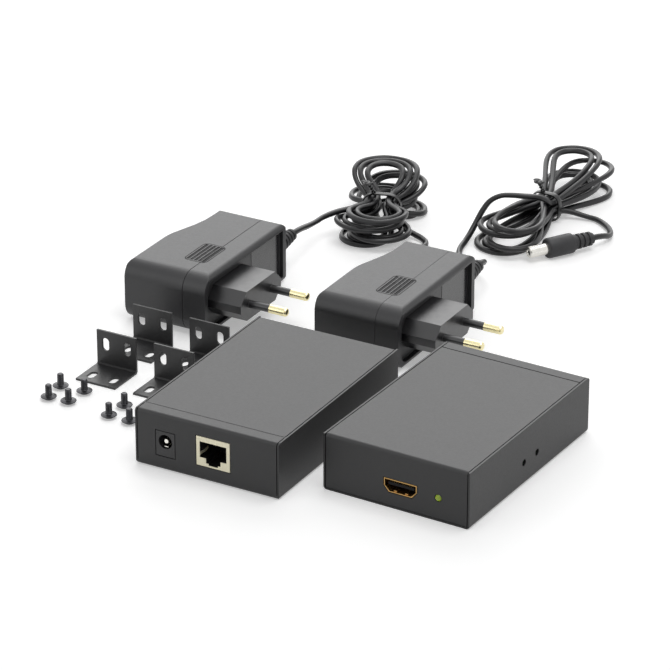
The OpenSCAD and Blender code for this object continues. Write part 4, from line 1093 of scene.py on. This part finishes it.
class EXTENDER_OT_cases(bpy.types.Operator):
    """Dress both cases: folded trays and covers with softened sheet edges"""
    bl_idname = "extender.cases"
    bl_label = "Cases"

    def execute(self, context):
        width = context.scene.extender_sizes.edge_round
        for unit in UNITS:
            for node, slot in (("tray", "case_sheet"), ("cover", "cover_sheet")):
                dress(unit, node, "folded_" + node, slot, width)
        self.seam_bed()
        return {"FINISHED"}

    def seam_bed(self):
        """The tongue under the receiver's lip, which nearly fills the seam before the cover."""
        bm = bmesh.new()
        front, under = -CASE_L / 2 + LIP, 0.2
        block(bm, (-CASE_W / 2 + SHEET, front - under, CASE_H - 2 * SHEET),
              (CASE_W / 2 - SHEET, front + SEAM + under, CASE_H - SEAM_DEEP),
              unit_place("receiver"), 0.02)
        add_piece(bm, "receiver", "seam_bed", "cover_sheet")


def cross_recess(bm, place, radius, depth, z, up=1):
    """A cross-shaped pocket's dark walls and floor, let into a flat screw head."""
    arm = radius * 0.24
    outline = []
    for k in range(4):
        a = math.pi / 2 * k
        c, s = math.cos(a), math.sin(a)
        for x, y in ((radius * 0.62, -arm), (radius * 0.62, arm), (arm, arm)):
            outline.append((x * c - y * s, x * s + y * c))
    top = [bm.verts.new(place @ Vector((x, y, z))) for x, y in outline]
    foot = [bm.verts.new(place @ Vector((x / 2, y / 2, z - up * depth))) for x, y in outline]
    bridge(bm, (top, foot))
    bm.faces.new(foot)
    return top


def screw_mesh(name, profile, up):
    """A small screw: a flat head with a cross recess inside its rim, and a turned shank."""
    place = Matrix.Scale(MM, 4)
    bm = bmesh.new()
    radius, z = profile[0]
    top = cross_recess(bm, place, radius, radius * 0.55, z, up)
    rim = ring_at(bm, place, radius, z, SCREW_SIDES)
    edges = [bm.edges.new((a, b)) for a, b in zip(rim, rim[1:] + rim[:1])]
    edges += [bm.edges.get((a, b)) for a, b in zip(top, top[1:] + top[:1])]
    bmesh.ops.triangle_fill(bm, edges=edges, use_beauty=True)
    lathe(bm, profile, place, SCREW_SIDES)
    return mesh_from(bm, name)


class EXTENDER_OT_case_screws(bpy.types.Operator):
    """Build the cover and board screws: cross-recessed heads on plain shanks"""
    bl_idname = "extender.case_screws"
    bl_label = "Case Screws"

    def execute(self, context):
        for unit in UNITS:
            place = unit_place(unit)
            cover = [place @ Vector((x * COVER_SCREW_X, COVER_SCREW_Y, 0)) for x in (-1, 1)]
            board = [place @ Vector((x * BOARD_HOLE_X / 2, y * BOARD_HOLE_Y / 2, 0))
                     for x in (-1, 1) for y in (-1, 1)]
            for kind, profile, up, places, seed, node in (
                    ("countersunk_screw", COUNTERSUNK, -1, cover, 5, "_cover_screws"),
                    ("pan_screw", PAN_HEAD, 1, board, 8, "_board_screws")):
                shape = screw_mesh(kind, profile, up)
                piece = scatter(f"{unit}_{kind}s", shape, places, finish("zinc_screw"), 3.0, seed)
                keep(piece, unit, "zinc_screw", unit + node)
        return {"FINISHED"}


class EXTENDER_OT_sockets(bpy.types.Operator):
    """Dress the network, power and video sockets, with their contacts and side springs"""
    bl_idname = "extender.sockets"
    bl_label = "Sockets"

    def execute(self, context):
        width = context.scene.extender_sizes.edge_round
        for unit in UNITS:
            for node, slot, share in (
                    ("network_shield", "shield_tin", 0.5), ("network_insert", "socket_black", 1),
                    ("network_contacts", "contact_gold", 0.4),
                    ("power_socket", "socket_black", 1.5), ("power_contacts", "contact_tin", 1),
                    ("video_shell", "video_gold", 0.6), ("video_tongue", "socket_black", 0.8)):
                look = "socket_body" if node == "power_socket" else slot
                dress(unit, node, node + "_dressed", slot, width * share, look)
            self.side_springs(unit)
            self.video_contacts(unit)
        return {"FINISHED"}

    def side_springs(self, unit):
        """Two bent tongues of the shield that grip a network plug at the mouth's sides."""
        place = unit_place(unit)
        bm = bmesh.new()
        z = NETWORK_Z + SPRING_RISE
        for side in (-1, 1):
            rows = []
            for out, deep in SPRING_BEND:
                x = NETWORK_X + side * MOUTH_W / 2 - side * out
                y = -CASE_L / 2 + SPRING_BACK + deep
                rows.append([bm.verts.new(place @ Vector((x + side * t, y, z + rise)))
                             for t, rise in ((0, 0), (SPRING_T, 0), (SPRING_T, SPRING_W),
                                             (0, SPRING_W))])
            bridge(bm, rows, capped=True)
        add_piece(bm, unit, "side_springs", "shield_tin", smooth=30)

    def video_contacts(self, unit):
        """Nineteen gold contacts on both faces of the tongue, and two grip springs below."""
        place = unit_place(unit)
        turn = Matrix.Rotation(math.radians(0 if unit == "receiver" else TRANSMITTER_TURN), 4, "Z")
        bm = bmesh.new()
        block(bm, (-CONTACT_W / 2, -CONTACT_L, -CONTACT_T / 2), (CONTACT_W / 2, 0, CONTACT_T / 2),
              turn @ Matrix.Scale(MM, 4), 0.03)
        middle = BOARD_TOP + VIDEO_RISE + VIDEO_H * 0.6
        places = [place @ Vector((VIDEO_X + i - (count - 1) / 2,
                                  CASE_L / 2 - SHEET - CONTACT_BACK, middle + face * CONTACT_RISE))
                  for count, face in CONTACT_ROWS for i in range(count)]
        piece = scatter(unit + "_video_contacts", mesh_from(bm, "video_contact"), places,
                        finish("contact_gold"))
        keep(piece, unit, "contact_gold")
        bm = bmesh.new()
        z = BOARD_TOP + VIDEO_RISE + GRIP_SPRING_RISE
        for side in (-1, 1):
            left = VIDEO_X + side * GRIP_SPRING_X - GRIP_SPRING_W / 2
            block(bm, (left, CASE_L / 2 - GRIP_SPRING_FROM, z),
                  (left + GRIP_SPRING_W, CASE_L / 2 - GRIP_SPRING_TO, z + GRIP_SPRING_T),
                  place, 0.12)
        add_piece(bm, unit, "video_springs", "video_gold", smooth=30)


class EXTENDER_OT_lamps(bpy.types.Operator):
    """Build the indicator lamps: a domed epoxy body and its legs"""
    bl_idname = "extender.lamps"
    bl_label = "Lamps"

    def execute(self, context):
        for unit in UNITS:
            r = LAMP_D / 2
            face = CASE_L / 2 + LAMP_OUT - r
            turn = Matrix.Rotation(math.radians(90), 4, "X")
            place = unit_place(unit) @ Matrix.Translation((LAMP_X, face, LAMP_Z)) @ turn
            bm = bmesh.new()
            dome = [(r * math.sin(a), -r * math.cos(a)) for a in angles(32)[:9]]
            lathe(bm, [*dome, (r, 3.2), (r, 3.9), (0, 4.0)], place)
            for x in (-LEG_X, LEG_X):
                left, right = x - LEG_W / 2, x + LEG_W / 2
                block(bm, (left, -LEG_W / 2, 3.6), (right, LEG_W / 2, 5.2), place, 0.05)
                block(bm, (left, BOARD_TOP - LAMP_Z, 4.6), (right, 0.2, 5.1), place, 0.05)
            add_piece(bm, unit, "epoxy_lamp", "lamp_green", "lamp", smooth=SOFT_EDGE)
        return {"FINISHED"}


class EXTENDER_OT_boards(bpy.types.Operator):
    """Finish the boards, standoffs, chips and adapter cards inside the housings"""
    bl_idname = "extender.boards"
    bl_label = "Boards"

    def execute(self, context):
        paint_nodes(("board_green", "brass_post", "chip_black", "inner_card"))
        return {"FINISHED"}


# Adapters


class EXTENDER_OT_adapter_shells(bpy.types.Operator):
    """Dress the adapters' moulded shells, plug bodies and the bare label in the recess"""
    bl_idname = "extender.adapter_shells"
    bl_label = "Adapter Shells"

    def execute(self, context):
        width = context.scene.extender_sizes.shell_round
        for adapter in ADAPTERS:
            for node, slot, share in (
                    ("back_shell", "adapter_case", 1), ("front_shell", "adapter_case", 1),
                    ("plug_insert", "plug_body", 1.4)):
                dress(adapter, node, "moulded_" + node, slot, width * share)
            self.label(adapter)
            self.grip_lines(adapter)
        return {"FINISHED"}

    def grip_lines(self, adapter):
        """The moulded grip pad on top, in painted shade: nearly black strips on the grooves' beds,
        and a nearly black band along its rounded outline for the shade at its rim.
        """
        place = adapter_place(adapter)
        bm = bmesh.new()
        pitch = PAD_W / PAD_GROOVES
        top = ADAPTER_H + 0.02
        low = (PAD_X - PAD_W - PAD_EDGE, PAD_Y - PAD_L / 2 - PAD_EDGE)
        high = (PAD_X + PAD_EDGE - 0.6, PAD_Y + PAD_L / 2 + PAD_EDGE)
        # Painted shade: a nearly black strip laid in each groove's bed, where the shade falls.
        for k in range(PAD_GROOVES):
            left = PAD_X - PAD_W + k * pitch + 0.05
            block(bm, (left, low[1] + PAD_EDGE, top - 0.39),
                  (left + GROOVE_W, high[1] - PAD_EDGE, top - 0.2), place, 0.01)
        # Painted shade: a nearly black band round the pad's rim, standing a hair above the top.
        outer = rounded_loop(low, high, PAD_ROUND)
        inner = rounded_loop([c + OUTLINE_W for c in low], [c - OUTLINE_W for c in high],
                             PAD_ROUND - OUTLINE_W)
        rows = [[bm.verts.new(place @ Vector(p)) for p in (
            (ox, oy, top - 0.3), (ox, oy, top), (ix, iy, top), (ix, iy, top - 0.3))]
            for (ox, oy), (ix, iy) in zip(outer, inner)]
        bridge(bm, rows, closed=True)
        add_piece(bm, adapter, "grip_lines", "adapter_case", look="socket_black")

    def label(self, adapter):
        """A thin bare rating label, stuck in the recess beside the plug body."""
        bm = bmesh.new()
        block(bm, (-RECESS, LABEL_FROM, LABEL_MARGIN),
              (-RECESS + LABEL_T, LABEL_TO, ADAPTER_H - LABEL_MARGIN),
              adapter_place(adapter), 0.05)
        add_piece(bm, adapter, "rating_label", "adapter_case", look="label_film")


class EXTENDER_OT_plug_pins(bpy.types.Operator):
    """Build the plug pins: plated tips with chamfered ends on thinner shanks"""
    bl_idname = "extender.plug_pins"
    bl_label = "Plug Pins"

    def execute(self, context):
        tip = PLUG_OUT + PIN_L
        bare = PLUG_OUT + SLEEVE_L
        r, soft = PIN_D / 2, 0.75
        profile = [(0, -5.8), (1.5, -5.8), (1.5, bare), (r - 0.12, bare), (r, bare + 0.12),
                   (r, tip - 1.5)]
        profile += [(r - soft + soft * math.cos(a), tip - 1.5 + 1.3 * math.sin(a))
                    for a in angles(24)[1:7]]
        profile += [(0.75, tip - 0.06), (0.4, tip), (0, tip)]
        turn = Matrix.Rotation(math.radians(90), 4, "Y")
        for adapter in ADAPTERS:
            bm = bmesh.new()
            for side in (-1, 1):
                at = Matrix.Translation((0, side * PIN_PITCH / 2, PLUG_Z))
                lathe(bm, profile, adapter_place(adapter) @ at @ turn)
            add_piece(bm, adapter, "plated_pins", "pin_plate", "pins", smooth=SHARP_EDGE)
        return {"FINISHED"}


class EXTENDER_OT_strain_reliefs(bpy.types.Operator):
    """Build the adapters' ribbed strain reliefs, tapered towards the cord"""
    bl_idname = "extender.strain_reliefs"
    bl_label = "Strain Reliefs"

    def execute(self, context):
        ribs = [(r, 3.6 + z) for r, z in ribbed_relief(4.6, 2.7, 14.4, 5, 0.8)]
        turn = Matrix.Rotation(math.radians(-90), 4, "X")
        at = Matrix.Translation((GLAND_X, TAIL_Y, ADAPTER_H / 2))
        for adapter in ADAPTERS:
            bm = bmesh.new()
            lathe(bm, (*GLAND_ROOT, *GLAND_COLLAR, *ribs, (0, GLAND_TIP)),
                  adapter_place(adapter) @ at @ turn, 48)
            add_piece(bm, adapter, "ribbed_relief", "relief_rubber", "gland", smooth=SHARP_EDGE)
        return {"FINISHED"}


# Brackets


class EXTENDER_OT_brackets(bpy.types.Operator):
    """Dress the four slotted angle brackets"""
    bl_idname = "extender.brackets"
    bl_label = "Brackets"

    def execute(self, context):
        width = context.scene.extender_sizes.edge_round * 0.8
        for node in BRACKETS:
            piece = rounded_copy(node, node + "_pressed", width, finish("bracket_black"))
            keep(piece, "loose_" + node, "bracket_black", node)
        return {"FINISHED"}


class EXTENDER_OT_bracket_screws(bpy.types.Operator):
    """Build the eight flanged bracket screws that stand on their heads, with cut threads"""
    bl_idname = "extender.bracket_screws"
    bl_label = "Bracket Screws"

    def execute(self, context):
        pitch = context.scene.extender_sizes.thread_pitch / MM
        shape = self.threaded_screw(pitch)
        places = [Vector((x * MM, y * MM, 0)) for x, y in SCREW_PLACES]
        piece = scatter("flanged_screws", shape, places, finish("screw_black"), 6.2, 11)
        keep(piece, "loose_screws", "screw_black", "bracket_screws")
        return {"FINISHED"}

    def threaded_screw(self, pitch):
        """A domed flanged head below, and a helical thread that runs out at both ends."""
        place = Matrix.Scale(MM, 4)
        bm = bmesh.new()
        lathe(bm, FLANGED_HEAD, place, 32)
        length = THREAD_HIGH - THREAD_LOW
        rows = round(length / (pitch / 5))
        rings = []
        for i in range(rows + 1):
            z = THREAD_LOW + length * i / rows
            fade = min(1.0, (z - THREAD_LOW) / 0.4, (THREAD_HIGH - z) / 0.35)
            neck = 0.12 * (1 - fade) * (1 if z < 3 else -1)
            ring = []
            for k, a in enumerate(angles(SCREW_SIDES)):
                phase = (z / pitch - k / SCREW_SIDES) % 1
                crest = 1 - abs(2 * phase - 1)
                r = THREAD_CORE_R + THREAD_DEEP * crest * fade + neck
                ring.append(bm.verts.new(place @ Vector((r * math.cos(a), r * math.sin(a), z))))
            rings.append(ring)
        bridge(bm, rings, capped=True)
        return mesh_from(bm, "flanged_screw")


# Stage


class EXTENDER_OT_stage(bpy.types.Operator):
    """Set the floor, the studio lamps, the world and the photograph's camera"""
    bl_idname = "extender.stage"
    bl_label = "Stage"

    def execute(self, context):
        self.floor()
        self.world()
        for name, place, size, power in LAMPS:
            self.lamp(name, place, size, power)
        self.camera()
        context.scene.view_settings.view_transform = "Standard"
        return {"FINISHED"}

    def floor(self):
        """A pale floor that keeps the shadows and shows white to the camera."""
        bm = bmesh.new()
        bmesh.ops.create_grid(bm, x_segments=12, y_segments=12, size=4.0)
        floor = link("floor", mesh_from(bm, "floor"))
        material, tree, body = new_material("matt_paper", Roughness=0.9)
        where = add_node(tree, "ShaderNodeTexCoord").outputs["Object"]
        fibre = add_node(tree, "ShaderNodeTexNoise", {
            "Vector": where, "Scale": 900.0}).outputs["Fac"]
        pale = varied_colour(tree, (0.86, 0.86, 0.86), 0.005, fibre)
        tree.links.new(pale, body.inputs["Base Color"])
        glow = add_node(tree, "ShaderNodeMath", {
            0: seen_rays(tree), 1: FLOOR_GLOW}, operation="MULTIPLY")
        body.inputs["Emission Color"].default_value = (1, 1, 1, 1)
        tree.links.new(glow.outputs[0], body.inputs["Emission Strength"])
        floor.data.materials.append(material)

    def world(self):
        """White to the camera and in reflections, and a plain grey light otherwise."""
        world = bpy.data.worlds.new("studio")
        world.use_nodes = True
        tree = world.node_tree
        tree.nodes.clear()
        strength = add_node(tree, "ShaderNodeMapRange", {
            "Value": seen_rays(tree), "To Min": WORLD_LIGHT, "To Max": 1.0}).outputs["Result"]
        sky = add_node(tree, "ShaderNodeBackground", {"Color": (1, 1, 1, 1), "Strength": strength})
        add_node(tree, "ShaderNodeOutputWorld", {"Surface": sky.outputs["Background"]})
        bpy.context.scene.world = world

    def lamp(self, name, place, size, power):
        """A square soft lamp, given in millimetres, that faces the set."""
        target = Vector(LAMPS_FACE) * MM
        data = bpy.data.lights.new(name, "AREA")
        data.size = size * MM
        data.energy = power
        lamp = bpy.data.objects.new(name, data)
        lamp.location = Vector(place) * MM
        lamp.rotation_euler = (target - lamp.location).to_track_quat("-Z", "Y").to_euler()
        bpy.context.scene.collection.objects.link(lamp)

    def camera(self):
        """The photograph's camera."""
        data = bpy.data.cameras.new("camera")
        data.sensor_width = SENSOR_MM
        data.lens = FOCAL_PX / FRAME_PX * SENSOR_MM
        data.clip_start = 0.05
        data.clip_end = 20.0
        camera = bpy.data.objects.new("camera", data)
        camera.location = Vector(CAMERA_AT) * MM
        camera.rotation_euler = [math.radians(a) for a in CAMERA_TURN]
        bpy.context.scene.collection.objects.link(camera)
        bpy.context.scene.camera = camera


OPERATORS = (
    EXTENDER_OT_stage, EXTENDER_OT_low_voltage_plugs, EXTENDER_OT_wire_ties, EXTENDER_OT_cords,
    EXTENDER_OT_cases, EXTENDER_OT_case_screws, EXTENDER_OT_sockets, EXTENDER_OT_lamps,
    EXTENDER_OT_boards, EXTENDER_OT_adapter_shells, EXTENDER_OT_plug_pins,
    EXTENDER_OT_strain_reliefs, EXTENDER_OT_brackets, EXTENDER_OT_bracket_screws,
)


class EXTENDER_PT_sidebar(bpy.types.Panel):
    """Lists the set's sizes, colours and operators"""
    bl_idname = "EXTENDER_PT_sidebar"
    bl_label = "Video Extender Set"
    bl_space_type = "VIEW_3D"
    bl_region_type = "UI"
    bl_category = "Extender"

    def draw(self, context):
        for group in (context.scene.extender_sizes, context.scene.extender_colours):
            for name in group.__annotations__:
                self.layout.prop(group, name)
        for operator in OPERATORS:
            self.layout.operator(operator.bl_idname)


CLASSES = (ExtenderSizes, ExtenderColours, *OPERATORS, EXTENDER_PT_sidebar)


def register():
    for cls in CLASSES:
        bpy.utils.register_class(cls)
    bpy.types.Scene.extender_sizes = bpy.props.PointerProperty(type=ExtenderSizes)
    bpy.types.Scene.extender_colours = bpy.props.PointerProperty(type=ExtenderColours)


def unregister():
    del bpy.types.Scene.extender_colours
    del bpy.types.Scene.extender_sizes
    for cls in reversed(CLASSES):
        bpy.utils.unregister_class(cls)


def main():
    register()
    for operator in OPERATORS:
        group, name = operator.bl_idname.split(".")
        getattr(getattr(bpy.ops, group), name)()


if __name__ == "__main__":
    main()
